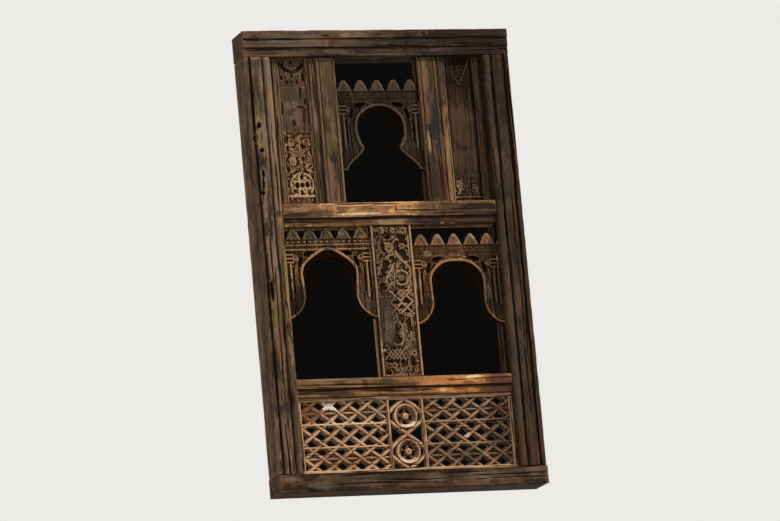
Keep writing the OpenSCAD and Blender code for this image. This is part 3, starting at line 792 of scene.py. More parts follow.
def rosette_work(x, z, right, mid, tall):
    """How deep the centre field is cut: crossed straps behind two bowls with raised rims and bosses."""
    angle = strap_lines()[0]
    best = np.full(len(x), -1.0)
    for k in (-1, 0, 1):
        for side in (-1, 1):
            d = np.abs(side * x * math.sin(angle) - (z - mid - 2 * ROSETTE_RISE * k) * math.cos(angle))
            height = 0.1 + 0.6 * round_top(d, CREST_W)
            best = np.maximum(best, np.where(d < STRAP_W / 2 + 1, height, -1))
    inside = (np.abs(x) < right) & (np.abs(z - mid) < tall / 2)
    depth = ROSETTE_CUT * (0.95 - np.clip(np.where(inside, best, 0.9), -0.1, 0.95))
    outer, boss = ROSETTE_D / 2, BOSS_D / 2
    # A bowl is deepest round its boss and rises to its rim, and a boss is a dome with a dimple in its middle
    for k in (-1, 1):
        r = np.hypot(x, z - mid - ROSETTE_RISE * k)
        out = np.clip((r - boss) / (outer - 4 - boss), 0, 1)
        bowl = 1 + 11 * (1 - out ** 2.2) + 6 * ramp(outer - 1.5, outer + 1, r)
        dome = 9 - 6 * round_top(r, BOSS_D) + 3 * np.exp(-(r / 2.4) ** 2)
        depth = np.where(r < outer, np.where(r < boss, dome, bowl), depth)
    return depth


# Materials

def linear(colour):
    """A colour written as it looks on a screen, such as 7d6d5b, as the renderer's values."""
    c = [int(colour[i:i + 2], 16) / 255 for i in (0, 2, 4)]
    return tuple(v / 12.92 if v <= 0.04045 else ((v + 0.055) / 1.055) ** 2.4 for v in c) + (1.0,)


class Look:
    """The nodes of a material, or of the world, under construction."""

    def __init__(self, owner, output="ShaderNodeOutputMaterial"):
        owner.use_nodes = True
        self.owner, self.tree = owner, owner.node_tree
        self.tree.nodes.clear()
        self.output = self.tree.nodes.new(output)

    def show(self, surface):
        self.tree.links.new(surface, self.output.inputs[0])

    def put(self, kind, inputs=None, **settings):
        """Adds a node. An input's value may be a number, a colour or another node's output."""
        node = self.tree.nodes.new(kind)
        for key, value in settings.items():
            setattr(node, key, value)
        for key, value in (inputs or {}).items():
            if isinstance(value, bpy.types.NodeSocket):
                self.tree.links.new(value, node.inputs[key])
            else:
                node.inputs[key].default_value = value
        return node

    def math(self, operation, a, b=0.0, c=0.0, clamp=False):
        return self.put("ShaderNodeMath", {0: a, 1: b, 2: c}, operation=operation, use_clamp=clamp).outputs[0]

    def span(self, value, low, high, to_low=0.0, to_high=1.0):
        """Maps low..high to to_low..to_high, and stops there."""
        inputs = {"Value": value, "From Min": low, "From Max": high, "To Min": to_low, "To Max": to_high}
        return self.put("ShaderNodeMapRange", inputs, interpolation_type="SMOOTHSTEP").outputs["Result"]

    def mix(self, share, a, b):
        node = self.put("ShaderNodeMix", data_type="RGBA")
        for socket, value in ((node.inputs[0], share), (node.inputs[6], a), (node.inputs[7], b)):
            if isinstance(value, bpy.types.NodeSocket):
                self.tree.links.new(value, socket)
            else:
                socket.default_value = value
        return node.outputs[2]

    def place(self):
        return self.put("ShaderNodeTexCoord").outputs["Object"]

    def stretch(self, scale, offset=(0, 0, 0)):
        inputs = {"Vector": self.place(), "Scale": scale, "Location": offset}
        return self.put("ShaderNodeMapping", inputs).outputs["Vector"]

    def noise(self, vector, scale, detail=4.0, roughness=0.6, distortion=0.0):
        inputs = {"Vector": vector, "Scale": scale, "Detail": detail, "Roughness": roughness,
                  "Distortion": distortion}
        return self.put("ShaderNodeTexNoise", inputs).outputs["Fac"]

    def bump(self, height, strength, distance, before=None):
        inputs = {"Height": height, "Strength": strength, "Distance": distance}
        if before is not None:
            inputs["Normal"] = before
        return self.put("ShaderNodeBump", inputs).outputs["Normal"]

    def cover(self, tone, colour, value, start, end, most):
        """Lays a colour over a tone: none of it where value is at start, and the share `most` at end."""
        return self.mix(self.span(value, start, end, 0.0, most), tone, linear(colour))

    def lay_patches(self, tone, patches, ragged, in_view):
        """Lays patches over a tone, each soft and ragged at its edge and on the front face alone: stains,
        painted shadows and painted highlights.
        """
        for x, z, width, height, colour, strength in patches:
            w, h = width * mm / 2, height * mm / 2
            moved = self.stretch((1 / w, 0.0, 1 / h), (-x * mm / w, 0, -z * mm / h))
            length = self.put("ShaderNodeVectorMath", {0: moved}, operation="LENGTH").outputs["Value"]
            share = self.span(self.math("ADD", length, ragged), 1.15, 0.6)
            share = self.math("MULTIPLY", self.math("MULTIPLY", share, in_view), strength)
            tone = self.mix(share, tone, linear(colour))
        return tone


# Colours of clouds, red patches and moss that all the timbers share
DRY_GREY, FOXY_RED, MOSS_GREEN = "8a8272", "75473a", "4d4c36"

# Patches fade out between these planes, so that the backs stay clean: stains and painted light alike.
PATCH_START, PATCH_END = -20 * mm, -14 * mm

# Stains, soot, moss and bleached wood on each timber's front, with painted shadows among them: the dark right
# parts of the head beam, the midrail and the right jamb, the dark top of the right panel, the dark strip down
# the left jamb's outer edge and the dark line along the sill's top. Each gives the middle's x and z, the
# width and the height in millimetres, then the colour and how much it covers
STAINS_AND_PAINTED_SHADOWS = {
    # The head's first patch is painted shadow over its right part.
    "head_wood": [
        (330, 1552, 520, 180, "1a120c", 0.95), (235, 1533, 150, 40, "5f4a3e", 0.6),
        (188, 1530, 20, 14, "20150d", 0.8), (230, 1575, 20, 14, "20150d", 0.8),
        (-300, 1560, 280, 70, "75654f", 0.5), (-440, 1570, 44, 26, "2d1a0a", 0.8),
        (-182, 1580, 40, 14, "33200e", 0.8), (-145, 1570, 44, 40, "5c3a2a", 0.7),
        (-110, 1581, 40, 20, "857068", 0.7), (-60, 1576, 70, 30, "6e6555", 0.6),
        (15, 1568, 100, 12, "7d735c", 0.6), (-150, 1530, 90, 30, "6f5f54", 0.5),
        (-170, 1511, 220, 12, "1c100b", 0.8), (60, 1545, 60, 40, "2b2417", 0.7)],
    # The left jamb's first patch, a dark strip down its outer edge, is painted shadow.
    "left_jamb_wood": [
        (-468, 800, 40, 1700, "2b1e13", 0.6), (-440, 1260, 60, 190, "8a7450", 0.5),
        (-398, 1300, 30, 420, "8f725c", 0.5), (-405, 880, 40, 460, "94795a", 0.6),
        (-436, 645, 60, 120, "77643f", 0.5), (-406, 280, 44, 480, "33251a", 0.7),
        (-410, 1450, 50, 110, "6b6159", 0.6), (-415, 1240, 40, 150, "93796e", 0.6),
        (-428, 972, 20, 50, "22170f", 0.8), (-400, 958, 22, 34, "2a1b10", 0.8),
        (-452, 905, 26, 60, "241a14", 0.7), (-420, 820, 36, 170, "8a7567", 0.6),
        (-446, 700, 22, 90, "20180a", 0.7), (-440, 612, 50, 60, "6c6238", 0.6),
        (-433, 520, 44, 110, "7b523c", 0.6), (-462, 440, 30, 110, "221b16", 0.8),
        (-421, 375, 34, 60, "55512f", 0.6), (-440, 400, 24, 50, "241a12", 0.7),
        (-460, 286, 36, 50, "20252b", 0.8), (-428, 290, 34, 44, "262b30", 0.8),
        (-408, 322, 22, 50, "1d1c1a", 0.8), (-430, 176, 50, 90, "735a4a", 0.6),
        (-455, 105, 30, 70, "2a1d16", 0.7), (-398, 860, 16, 180, "4f2c1c", 0.6),
        (-396, 560, 18, 90, "1b120b", 0.8), (-425, 1090, 30, 70, "5f5549", 0.6),
        (-448, 1160, 26, 40, "2c2218", 0.7)],
    # The right jamb's two first patches are painted shadow over most of it.
    "right_jamb_wood": [
        (440, 1370, 130, 460, "22180f", 0.7), (440, 900, 130, 500, "2b2016", 0.6),
        (432, 640, 44, 130, "5f4537", 0.6), (430, 975, 50, 50, "4c4138", 0.6),
        (402, 1010, 50, 80, "1a1510", 0.7), (408, 245, 60, 110, "3f4131", 0.6),
        (430, 120, 60, 90, "55382a", 0.5), (412, 470, 60, 110, "25262a", 0.6),
        (425, 790, 40, 70, "201a12", 0.7), (440, 1230, 40, 70, "473a30", 0.6),
        (408, 1310, 50, 60, "3d3632", 0.6)],
    "left_panel_wood": [
        (-302, 1465, 140, 130, "5d553f", 0.85), (-300, 1340, 160, 240, "453b28", 0.9),
        (-312, 1345, 90, 34, "6c624c", 0.7), (-270, 1310, 40, 120, "50351f", 0.8),
        (-338, 1290, 44, 90, "4e4640", 0.8), (-298, 1300, 44, 60, "7d6557", 0.6),
        (-297, 1066, 120, 110, "d6b487", 0.6)],
    # The right panel's first patch is painted shadow over its top.
    "right_panel_wood": [
        (310, 1440, 150, 170, "231b13", 0.7), (275, 1475, 80, 40, "262b2d", 0.5),
        (292, 1270, 110, 170, "7d6047", 0.55), (330, 1262, 30, 40, "3f2a18", 0.7),
        (310, 1090, 110, 200, "665340", 0.5), (270, 1380, 100, 70, "5c4a42", 0.6),
        (257, 1050, 50, 84, "a98f6e", 0.7), (253, 1130, 26, 90, "94794f", 0.55)],
    "left_stile_wood": [
        (-200, 1420, 26, 150, "6f5742", 0.5), (-176, 1420, 22, 160, "4c4536", 0.6),
        (-187, 1318, 34, 44, "80594a", 0.45), (-190, 1200, 40, 90, "6c6039", 0.5),
        (-198, 1080, 34, 170, "8d6f57", 0.55), (-163, 1290, 14, 120, "2a1d12", 0.7),
        (-164, 1060, 14, 150, "2a1d12", 0.5)],
    "right_stile_wood": [
        (165, 1440, 50, 150, "7c6040", 0.7), (212, 1450, 14, 120, "6e5231", 0.7),
        (165, 1310, 50, 110, "6b503c", 0.65), (196, 1265, 36, 200, "26292a", 0.9),
        (166, 1205, 18, 90, "a58a70", 0.7), (165, 1080, 60, 190, "2b281f", 0.8),
        (198, 1075, 34, 190, "482a20", 0.8), (148, 1250, 14, 460, "7a5233", 0.5)],
    "left_inner_batten_wood": [
        (-226, 1065, 24, 160, "22150c", 0.8), (-230, 1215, 24, 90, "2e2a18", 0.7),
        (-228, 1390, 20, 110, "33281a", 0.6), (-242, 1310, 20, 150, "85705f", 0.6)],
    "right_inner_batten_wood": [(230, 1430, 60, 230, "33271d", 0.95), (236, 1385, 40, 60, "5d443a", 0.6)],
    # The upper arch board's patch is painted shadow over its right part.
    "upper_arch_board_wood": [(70, 1370, 170, 130, "3d302a", 0.6)],
    # The midrail's two first patches are painted shadow over its right end.
    "midrail_wood": [
        (160, 960, 160, 120, "54402f", 0.9), (345, 957, 380, 180, "2a1e14", 1.0),
        (222, 962, 80, 40, "6c4e36", 0.6), (215, 985, 100, 14, "30200f", 0.8),
        (-335, 957, 250, 110, "4b3623", 0.9), (-330, 974, 100, 18, "a58c6c", 0.7),
        (-285, 985, 90, 22, "8f6a4c", 0.6), (-340, 954, 110, 16, "26180d", 0.8),
        (-42, 965, 54, 90, "a4735a", 0.7), (-125, 955, 170, 10, "f4d6ae", 0.8),
        (21, 970, 14, 26, "5a3418", 0.8), (0, 929, 900, 34, "402b19", 0.75),
        (10, 930, 140, 40, "a08465", 0.7), (-345, 938, 30, 18, "8b8070", 0.6),
        (120, 925, 160, 26, "2c2622", 0.8)],
    "lower_left_arch_board_wood": [
        (-228, 892, 330, 44, "40412f", 0.8), (-222, 846, 44, 40, "4a4c4c", 0.8),
        (-357, 765, 70, 130, "b8905f", 0.6), (-340, 655, 100, 120, "392e2a", 0.85),
        (-102, 862, 70, 44, "a8764c", 0.6), (-78, 857, 22, 30, "d8c0a8", 0.7),
        (-118, 760, 40, 130, "9a6f50", 0.5), (-105, 665, 50, 120, "8f8570", 0.5),
        (-173, 897, 24, 26, "8d8068", 0.6)],
    "lower_right_arch_board_wood": [
        (225, 880, 330, 54, "675c4e", 0.7), (120, 880, 120, 50, "4c4738", 0.6),
        (218, 838, 90, 50, "8d5b50", 0.6), (330, 832, 150, 44, "6e5837", 0.6),
        (127, 815, 32, 24, "c8aa90", 0.75), (227, 825, 60, 12, "3c1f14", 0.7),
        (330, 800, 100, 120, "63503a", 0.6), (355, 690, 120, 220, "474433", 0.8),
        (340, 680, 20, 60, "9a8670", 0.6), (88, 712, 26, 50, "c2a283", 0.7),
        (167, 880, 30, 34, "8f877c", 0.7), (228, 890, 30, 30, "8f877c", 0.7),
        (302, 878, 30, 34, "9d9583", 0.7)],
    "mullion_wood": [
        (-36, 570, 90, 270, "3f3b2a", 0.75), (-46, 770, 44, 300, "43342a", 0.5),
        (10, 500, 90, 90, "5a5038", 0.4), (-64, 482, 18, 9, "e6d4b8", 1.0),
        (20, 420, 110, 50, "7c523a", 0.4)],
    "lower_rail_wood": [
        (185, 362, 300, 70, "d08b50", 0.8), (-250, 372, 240, 40, "7d684f", 0.6),
        (-235, 372, 46, 18, "3a2008", 0.8), (-146, 368, 26, 30, "3a2208", 0.8),
        (-250, 338, 130, 28, "392d29", 0.85), (-70, 366, 90, 44, "3d3626", 0.85),
        (-5, 341, 90, 12, "c79c84", 0.8), (-10, 358, 110, 14, "4a2a1c", 0.8),
        (165, 372, 34, 14, "5d3208", 0.8), (200, 345, 60, 16, "5d3208", 0.7),
        (228, 360, 44, 12, "6b3c12", 0.7), (245, 378, 70, 16, "f0d2b0", 0.7),
        (135, 345, 26, 34, "e0b084", 0.7), (340, 358, 110, 80, "5c3a30", 0.9),
        (-350, 345, 60, 24, "5c4f3e", 0.6)],
    "left_lattice_wood": [
        (-345, 275, 130, 80, "8a523a", 0.7), (-100, 280, 60, 50, "857066", 0.6),
        (-190, 200, 260, 60, "8d765c", 0.4), (-230, 108, 230, 60, "96593e", 0.6),
        (-150, 262, 60, 30, "5f5f52", 0.4)],
    "centre_lattice_wood": [(0, 195, 130, 60, "7d5d3c", 0.5), (30, 262, 60, 70, "5a3a24", 0.5)],
    "right_lattice_wood": [
        (215, 112, 110, 90, "3a3b2a", 0.75), (326, 190, 90, 260, "463a2c", 0.75),
        (120, 120, 110, 80, "5b4c44", 0.5), (330, 290, 60, 60, "5a352a", 0.6),
        (160, 190, 140, 50, "85604a", 0.5)],
    # The sill's first patch, a dark line along its top, is painted shadow under the apron.
    "sill_wood": [
        (-70, 61, 680, 18, "150d08", 0.9), (-75, 38, 150, 50, "29240f", 0.75),
        (150, 52, 100, 24, "2a1c20", 0.8), (-380, 52, 80, 30, "261b14", 0.8),
        (-330, 22, 120, 26, "786f5c", 0.6), (-190, 24, 130, 24, "654f44", 0.5),
        (75, 34, 80, 32, "736852", 0.6), (20, 14, 60, 14, "5c3a34", 0.6), (260, 34, 120, 44, "75675a", 0.6),
        (282, 14, 38, 22, "30211a", 0.8), (-95, 12, 60, 16, "2b170a", 0.8),
        (400, 18, 46, 26, "30200f", 0.8), (-455, 18, 40, 32, "2a120a", 0.8),
        (-440, 45, 50, 24, "7c6f62", 0.6), (-245, 44, 60, 20, "3a2f26", 0.7),
        (-270, 8, 70, 12, "2c1d10", 0.7), (170, 20, 60, 26, "5a443c", 0.6),
        (345, 50, 60, 24, "57412c", 0.6), (430, 44, 70, 26, "6f6357", 0.6)],
}

# Bare wood and painted highlights, which stay as pale in the hollows, written the same way: the chip on the
# left lattice is bleached wood with a painted highlight, and the pale lines along the apron strips' edges and
# a level strap and the pale spots low in the rosettes' bowls are painted highlights
BARE_AND_HIGHLIGHTS = {
    "strip_wood": [
        (-85, 320, 60, 12, "f4e0c4", 0.8), (180, 320, 120, 12, "d8b68e", 0.5),
        (-270, 70, 220, 12, "e4cc9c", 0.6)],
    "left_lattice_wood": [
        (-262, 299, 78, 32, "fff6e6", 1.0), (-220, 236, 290, 12, "e8cfae", 0.55),
        (-255, 246, 26, 16, "f4dcc0", 0.5), (-180, 246, 22, 14, "f4dcc0", 0.4)],
    "centre_lattice_wood": [
        (8, 230, 64, 26, "fff0d8", 0.85), (0, 106, 64, 24, "f4dcc4", 0.8), (46, 262, 18, 30, "e8d0ac", 0.6)],
    "right_lattice_wood": [(172, 312, 18, 16, "fff4e0", 0.9), (213, 184, 24, 20, "f4e0c4", 0.7)],
}


def old_wood(name, axis, dark, body, light, grey=0.12, face=None, sunk=(1.2, 5.0, 0.8), reach=18):
    """Weathered timber with its grain along axis: painted shade in hollows, dark cracks, pale ridges that are
    worn wood with a painted highlight, and the patches kept under its name, which are stains and painted
    shadows and highlights. face is the y of a carved face. sunk says how many millimetres behind it the
    carving starts and stops getting darker with painted shade, and by what share. Past reach nothing is
    darkened."""
    look = Look(bpy.data.materials.new(name))
    draw = np.random.default_rng(sum(map(ord, name)))
    scale = [1.0] * 3
    scale[axis] = 0.07

    def along_grain(size, detail, roughness, distortion=0.2):
        return look.noise(look.stretch(scale, draw.uniform(-9, 9, 3)), size, detail, roughness, distortion)

    bands, streaks = along_grain(16.0, 3.0, 0.55), along_grain(60.0, 5.0, 0.62)
    fine = along_grain(330.0, 2.0, 0.6)
    blotch_scale = [1.0] * 3
    blotch_scale[axis] = 0.45

    def patchy(size, detail=3.0, distortion=0.0):
        return look.noise(look.stretch(blotch_scale, draw.uniform(-9, 9, 3)), size, detail, 0.6, distortion)

    blotches, cloud = patchy(19.0, 4.0, 0.4), patchy(6.0)
    relief = look.put("ShaderNodeAttribute", attribute_name="relief").outputs["Fac"]
    pale = look.math("ADD", look.math("MULTIPLY", bands, 0.45), look.math("MULTIPLY", streaks, 0.55))
    tone = look.mix(look.span(pale, 0.38, 0.60), linear(body), linear(light))
    tone = look.cover(tone, DRY_GREY, cloud, 0.45, 0.65, grey)
    red, moss = patchy(11.0), patchy(9.0)
    tone = look.cover(tone, FOXY_RED, red, 0.52, 0.68, 0.3)
    tone = look.cover(tone, MOSS_GREEN, moss, 0.52, 0.68, 0.3)
    spots = patchy(50.0, 3.0, 0.4)
    tone = look.cover(tone, dark, blotches, 0.57, 0.38, 0.7)
    tone = look.cover(tone, dark, spots, 0.54, 0.40, 0.35)
    # Raised ridges are paler: worn wood with a painted highlight.
    tone = look.cover(tone, light, relief, 0.15, 1.0, 0.75)
    depth = look.put("ShaderNodeSeparateXYZ", {0: look.place()}).outputs["Y"]
    ragged = look.math("MULTIPLY_ADD", look.noise(look.stretch((60, 60, 40)), 1.0), 1.6, -0.8)
    in_front = look.span(depth, PATCH_END, PATCH_START)
    in_view = look.math("MULTIPLY", in_front, look.span(streaks, 0.3, 0.55, 0.6, 1.0))
    tone = look.lay_patches(tone, STAINS_AND_PAINTED_SHADOWS.get(name, ()), ragged, in_view)
    shine = 0.15
    # Painted shade: the carving darkens towards the dark colour with its depth behind the face, in its
    # hollows and down the openings' walls, and loses its sheen there.
    if face is not None:
        low, high, most = sunk
        cut_in = look.span(depth, face + low * mm, face + high * mm, 0.0, most)
        within_reach = look.span(depth, face + reach * mm, face + (reach - 2) * mm)
        painted_depth_shade = look.math("MULTIPLY", cut_in, within_reach)
        tone = look.mix(painted_depth_shade, tone, linear(dark))
        shine = look.span(painted_depth_shade, 0.0, 1.0, shine, 0.0)
    # Pale patches laid after the painted shade: bare wood and painted highlights.
    tone = look.lay_patches(tone, BARE_AND_HIGHLIGHTS.get(name, ()), ragged, in_view)
    tone = look.cover(tone, dark, fine, 0.55, 0.66, 0.5)
    course = along_grain(24.0, 3.0, 0.5, 0.1)
    line = look.math("ABSOLUTE", look.math("SUBTRACT", course, 0.5))
    open_here = look.span(along_grain(14.0, 2.0, 0.5), 0.50, 0.56)
    crack = look.math("MULTIPLY", look.span(line, 0.012, 0.003), open_here)
    tone = look.mix(look.math("MULTIPLY", crack, 0.9), tone, linear(dark))
    # Painted shade: hollows of the fine relief are darker.
    tone = look.cover(tone, dark, relief, 0.05, -0.8, 0.94)
    rough = look.span(streaks, 0.3, 0.7, 0.78, 0.95)
    normal = look.bump(streaks, 0.35, 0.8 * mm)
    normal = look.bump(fine, 0.4, 0.3 * mm, normal)
    normal = look.bump(look.math("SUBTRACT", 1.0, crack), 0.6, 0.8 * mm, normal)
    inputs = {"Base Color": tone, "Roughness": rough, "Normal": normal, "Specular IOR Level": shine}
    shader = look.put("ShaderNodeBsdfPrincipled", inputs)
    look.show(shader.outputs[0])
    return look.owner


def thin(obj, triangles):
    """Leaves out points where the mesh is nearly flat, down to about that many triangles."""
    count = len(obj.data.loops) - 2 * len(obj.data.polygons)
    if count <= triangles:
        return
    reduce = obj.modifiers.new("reduce", "DECIMATE")
    reduce.ratio = triangles / count
    full = obj.data
    obj.data = bpy.data.meshes.new_from_object(obj.evaluated_get(bpy.context.evaluated_depsgraph_get()))
    obj.modifiers.remove(reduce)
    bpy.data.meshes.remove(full)
    obj.data.name = obj.name
    obj.data.shade_smooth()
    obj.data.set_sharp_from_angle(angle=math.radians(55))


def finish_piece(obj, node, material, triangles):
    note_relief(obj)
    thin(obj, triangles)
    obj.data.materials.clear()
    obj.data.materials.append(material)
    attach(obj, "root")
    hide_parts(node)


# Jambs, sill, head and rails

def jamb(side, pitted, seed, material):
    node = side + "_jamb"
    low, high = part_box(node)
    foot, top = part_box("sill")[1].z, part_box("head_beam")[0].z

    section_z = 0.80

    def wear(p, near):
        return weathered(p, 2, near)

    def dents(p):
        split = cracks(p[:, 2], p[:, 0], seed, 14, (foot, top), (low.x, high.x),
                       width=3.2 * mm, depth=8 * mm, length=460 * mm)
        return np.maximum(split, pits(p[:, 0], p[:, 2], pitted))

    obj = bar(node + "_timber", node, 2, section_z, (foot, top), wear, dents)
    finish_piece(obj, node, material, 46000)


def level_timber(node, at, seed, triangles, material):
    low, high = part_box(node)
    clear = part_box("apron_top_strip")
    outermost = node in ("sill", "head_beam")
    span = (low.x, high.x) if outermost else (clear[0].x, clear[1].x)

    def wear(p, near):
        return weathered(p, 0, near)

    def dents(p):
        return cracks(p[:, 0], p[:, 2], seed, 10, span, (low.z, high.z),
                      width=3 * mm, depth=6 * mm, length=420 * mm)

    obj = bar(node + "_timber", node, 0, at, span, wear, dents, outermost)
    finish_piece(obj, node, material, triangles)


# Boards

def board(node, step, material, triangles, carved=None, axis=2, rings=(), slice_y=None, age=0.8):
    """A board of a CAD node's outline. carved(x, z, d) is how far its face is cut back, in millimetres."""
    low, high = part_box(node)
    edge = 1.6 * mm
    along, across = (axis, 2 - axis)

    def face(x, z, d, y):
        p = xyz(x, y, z)
        split = cracks(p[:, along], p[:, across], sum(map(ord, node)), 5, (low[along], high[along]),
                       (low[across], high[across]), width=2.6 * mm, depth=5 * mm, length=240 * mm)
        rounded = edge * np.clip(1 - d / (2 * edge), 0, 1) ** 2
        return rounded + weathered(p, axis, np.full(len(x), 1.0), age) + split

    def front(x, z, d):
        cut_back = 0 if carved is None else carved(x / mm, z / mm, d / mm) * mm
        return low.y + face(x, z, d, low.y) + cut_back

    def back(x, z, d):
        return high.y - 0.6 * face(x, z, d, high.y)

    obj = plate(node + "_piece", node, step, front, back, rings, slice_y)
    finish_piece(obj, node, material, triangles)


def grooved(node, reach):
    """The walls of a post with a groove down each side for the boards."""
    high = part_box(node)[1]
    board_front, board_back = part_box("upper_left_panel")[0].y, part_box("upper_left_panel")[1].y
    return ((POST_WALL_START, None), (board_front, None), (board_front, reach), (board_back, reach),
            (board_back, None), (high.y - 2 * mm, None))


def centre_mullion(material):
    def carved(x, z, d):
        field = ramp(MULLION_FIELD + 2, MULLION_FIELD - 2, np.abs(x))
        edge_groove = 2.5 * round_top(np.abs(np.abs(x) - MULLION_FIELD), 4)
        return field * MULLION_CUT * (1 - mullion_carving(x, z)) + edge_groove

    board("centre_mullion", 1.6 * mm, material, 92000, carved, age=0.6,
          rings=grooved("centre_mullion", MULLION_CORE), slice_y=POST_SLICE)


def carved_panel(side, carving, triangles, material):
    middle = -PANEL_MIDDLE if side == "left" else PANEL_MIDDLE

    def carved(x, z, d):
        field = ramp(PANEL_FIELD + 1, PANEL_FIELD - 1, np.abs(x - middle))
        return field * PANEL_CUT * (1 - carving(x, z))

    board(f"upper_{side}_panel", 2 * mm, material, triangles, carved, age=0.7)


def stile(side, material):
    def carved(x, z, d):
        return sum(2.2 * round_top(np.abs(np.abs(x) - groove), 4.5) for groove in STILE_GROOVES)

    node = f"upper_{side}_stile"
    board(node, 2.2 * mm, material, 18000, carved, rings=grooved(node, STILE_CORE), slice_y=POST_SLICE)


def batten(side, place, material):
    node = f"upper_{side}_{place}_batten"
    low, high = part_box(node)
    middle, half = (low.x + high.x) / 2 / mm, (high.x - low.x) / 2 / mm
    crown = 6.0
    arc = (half ** 2 + crown ** 2) / (2 * crown)

    def carved(x, z, d):
        across = np.abs(x - middle)
        round_face = arc - np.sqrt(arc ** 2 - np.minimum(across, half) ** 2)
        side_grooves = 2.4 * round_top(np.abs(across - 10), 4.4)
        return round_face + side_grooves

    board(node, 2 * mm, material, 11000, carved)


def arch_board(node, haunch, keel, crisp, material):
    low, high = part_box(node)
    upper = node.startswith("upper")
    middle = (low.x + high.x) / 2 / mm
    half = UPPER_LIGHT if upper else LOWER_LIGHT
    foot = high.z / mm - BOARD_H

    def carved(x, z, d):
        return BOARD_CUT * (1 - board_relief(x - middle, z - foot, d, half, upper, haunch, keel, crisp))

    board(node, 1.8 * mm, material, 52000, carved, age=0.6, slice_y=BOARD_SLICE)


def lattice(place, material):
    """One of the apron's pierced boards, with its straps carved to pass over and under."""
    top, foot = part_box("apron_top_strip")[0].z / mm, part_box("apron_bottom_strip")[1].z / mm
    mid, tall = (top + foot) / 2, top - foot
    inner_x, outer_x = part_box("apron_right_divider"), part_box("apron_right_strip")[0].x / mm
    near_x = inner_x[1].x / mm

    def within(x, z, spot, outer, inner):
        """1 inside a spot and 0 outside it, with a soft edge."""
        middle_x, middle_z, across, up = spot
        return ramp(outer, inner, np.hypot((x - middle_x) / across, (z - middle_z) / up))

    def carved(x, z, d):
        if place == "centre":
            return rosette_work(x, z, inner_x[0].x / mm, mid, tall)
        if place == "left":
            h = strapwork(x, z, -outer_x, -near_x, mid, tall)
            h += 0.7 * within(x, z, BROKEN_CORNER, 1.1, 0.7) * (0.45 - h) * (h > -0.5)
            h += within(x, z, BLEACHED_CHIP, 1.15, 0.8) * (0.3 - h) * (h > -0.5)
        else:
            h = strapwork(x, z, near_x, outer_x, mid, tall)
        return STRAP_CUT * (0.95 - np.clip(h, -0.1, 0.95))

    triangles = 40000 if place == "centre" else 84000
    board(f"apron_{place}_lattice", 1.8 * mm, material, triangles, carved, axis=0, age=0.45)


# Stage, lamps and camera

def seen_rays(look):
    """1 for the rays that show a surface in the picture: the camera's and those by way of a reflection."""
    path = look.put("ShaderNodeLightPath").outputs
    straight = look.math("MAXIMUM", path["Is Camera Ray"], path["Is Glossy Ray"])
    return look.math("MAXIMUM", straight, path["Is Transmission Ray"])


def seen_in_front(look, surface):
    """Shows that surface on the front side alone, to the rays that show it in the picture."""
    seen = seen_rays(look)
    behind = look.put("ShaderNodeNewGeometry").outputs["Backfacing"]
    shown = look.math("SUBTRACT", seen, behind, clamp=True)
    clear = look.put("ShaderNodeBsdfTransparent").outputs[0]
    look.show(look.put("ShaderNodeMixShader", {0: shown, 1: clear, 2: surface}).outputs[0])


def flat_piece(name, points, look):
    piece = add_mesh(name, np.array(points), [(0, 1, 2, 3)])
    piece.data.materials.append(look.owner)


def pale_floor():
    """A floor under the window that takes its shadow. From below it is clear."""
    look = Look(bpy.data.materials.new("pale_floor"))
    shaded = look.put("ShaderNodeBsdfDiffuse", {"Color": (0.25, 0.25, 0.24, 1)}).outputs[0]
    plain = look.put("ShaderNodeEmission", {"Color": (0.74, 0.73, 0.70, 1)}).outputs[0]
    seen_in_front(look, look.put("ShaderNodeAddShader", {0: shaded, 1: plain}).outputs[0])
    half = 30.0
    flat_piece("floor", [(-half, -half, 0), (half, -half, 0), (half, half, 0), (-half, half, 0)], look)


def unlit_room():
    """A dark sheet just inside the frame, for the unlit room behind it. From behind it is clear."""
    look = Look(bpy.data.materials.new("unlit_room"))
    seen_in_front(look, look.put("ShaderNodeEmission", {"Color": (0.004, 0.0035, 0.003, 1)}).outputs[0])
    lap = 4 * mm
    low_x, high_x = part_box("apron_top_strip")[0].x - lap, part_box("apron_top_strip")[1].x + lap
    foot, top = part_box("sill")[1].z - lap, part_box("head_beam")[0].z + lap
    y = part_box("left_jamb")[1].y - lap
    flat_piece("unlit_room", [(low_x, y, foot), (high_x, y, foot), (high_x, y, top), (low_x, y, top)], look)


def sky():
    """A pale backdrop in the picture, and a dimmer light from all sides on the window."""
    world = bpy.data.worlds.new("studio")
    bpy.context.scene.world = world
    look = Look(world, "ShaderNodeOutputWorld")
    seen = look.put("ShaderNodeBackground", {"Color": (0.84, 0.83, 0.80, 1)}).outputs[0]
    ambient = look.put("ShaderNodeBackground", {"Color": (1.0, 0.98, 0.95, 1), "Strength": 0.32}).outputs[0]
    look.show(look.put("ShaderNodeMixShader", {0: seen_rays(look), 1: ambient, 2: seen}).outputs[0])


def lamps():
    """A warm lamp high on the right, a weak one on the left and one behind."""
    aim = Vector((0, 0, 0.8))
    for name, place, size, power, colour in (
            ("key", (4.9, -3.9, 5.4), 1.2, 620, (1.0, 0.94, 0.86)),
            ("fill", (-5.0, -5.0, 1.5), 3.0, 90, (1.0, 0.98, 0.95)),
            ("rear", (1.5, 6.0, 4.0), 2.5, 200, (1.0, 0.98, 0.95))):
        data = bpy.data.lights.new(name, "AREA")
        data.size, data.energy, data.color = size, power, colour
        lamp = bpy.data.objects.new(name, data)
        bpy.context.scene.collection.objects.link(lamp)
        lamp.location = place
        lamp.rotation_euler = (aim - Vector(place)).to_track_quat("-Z", "Y").to_euler()


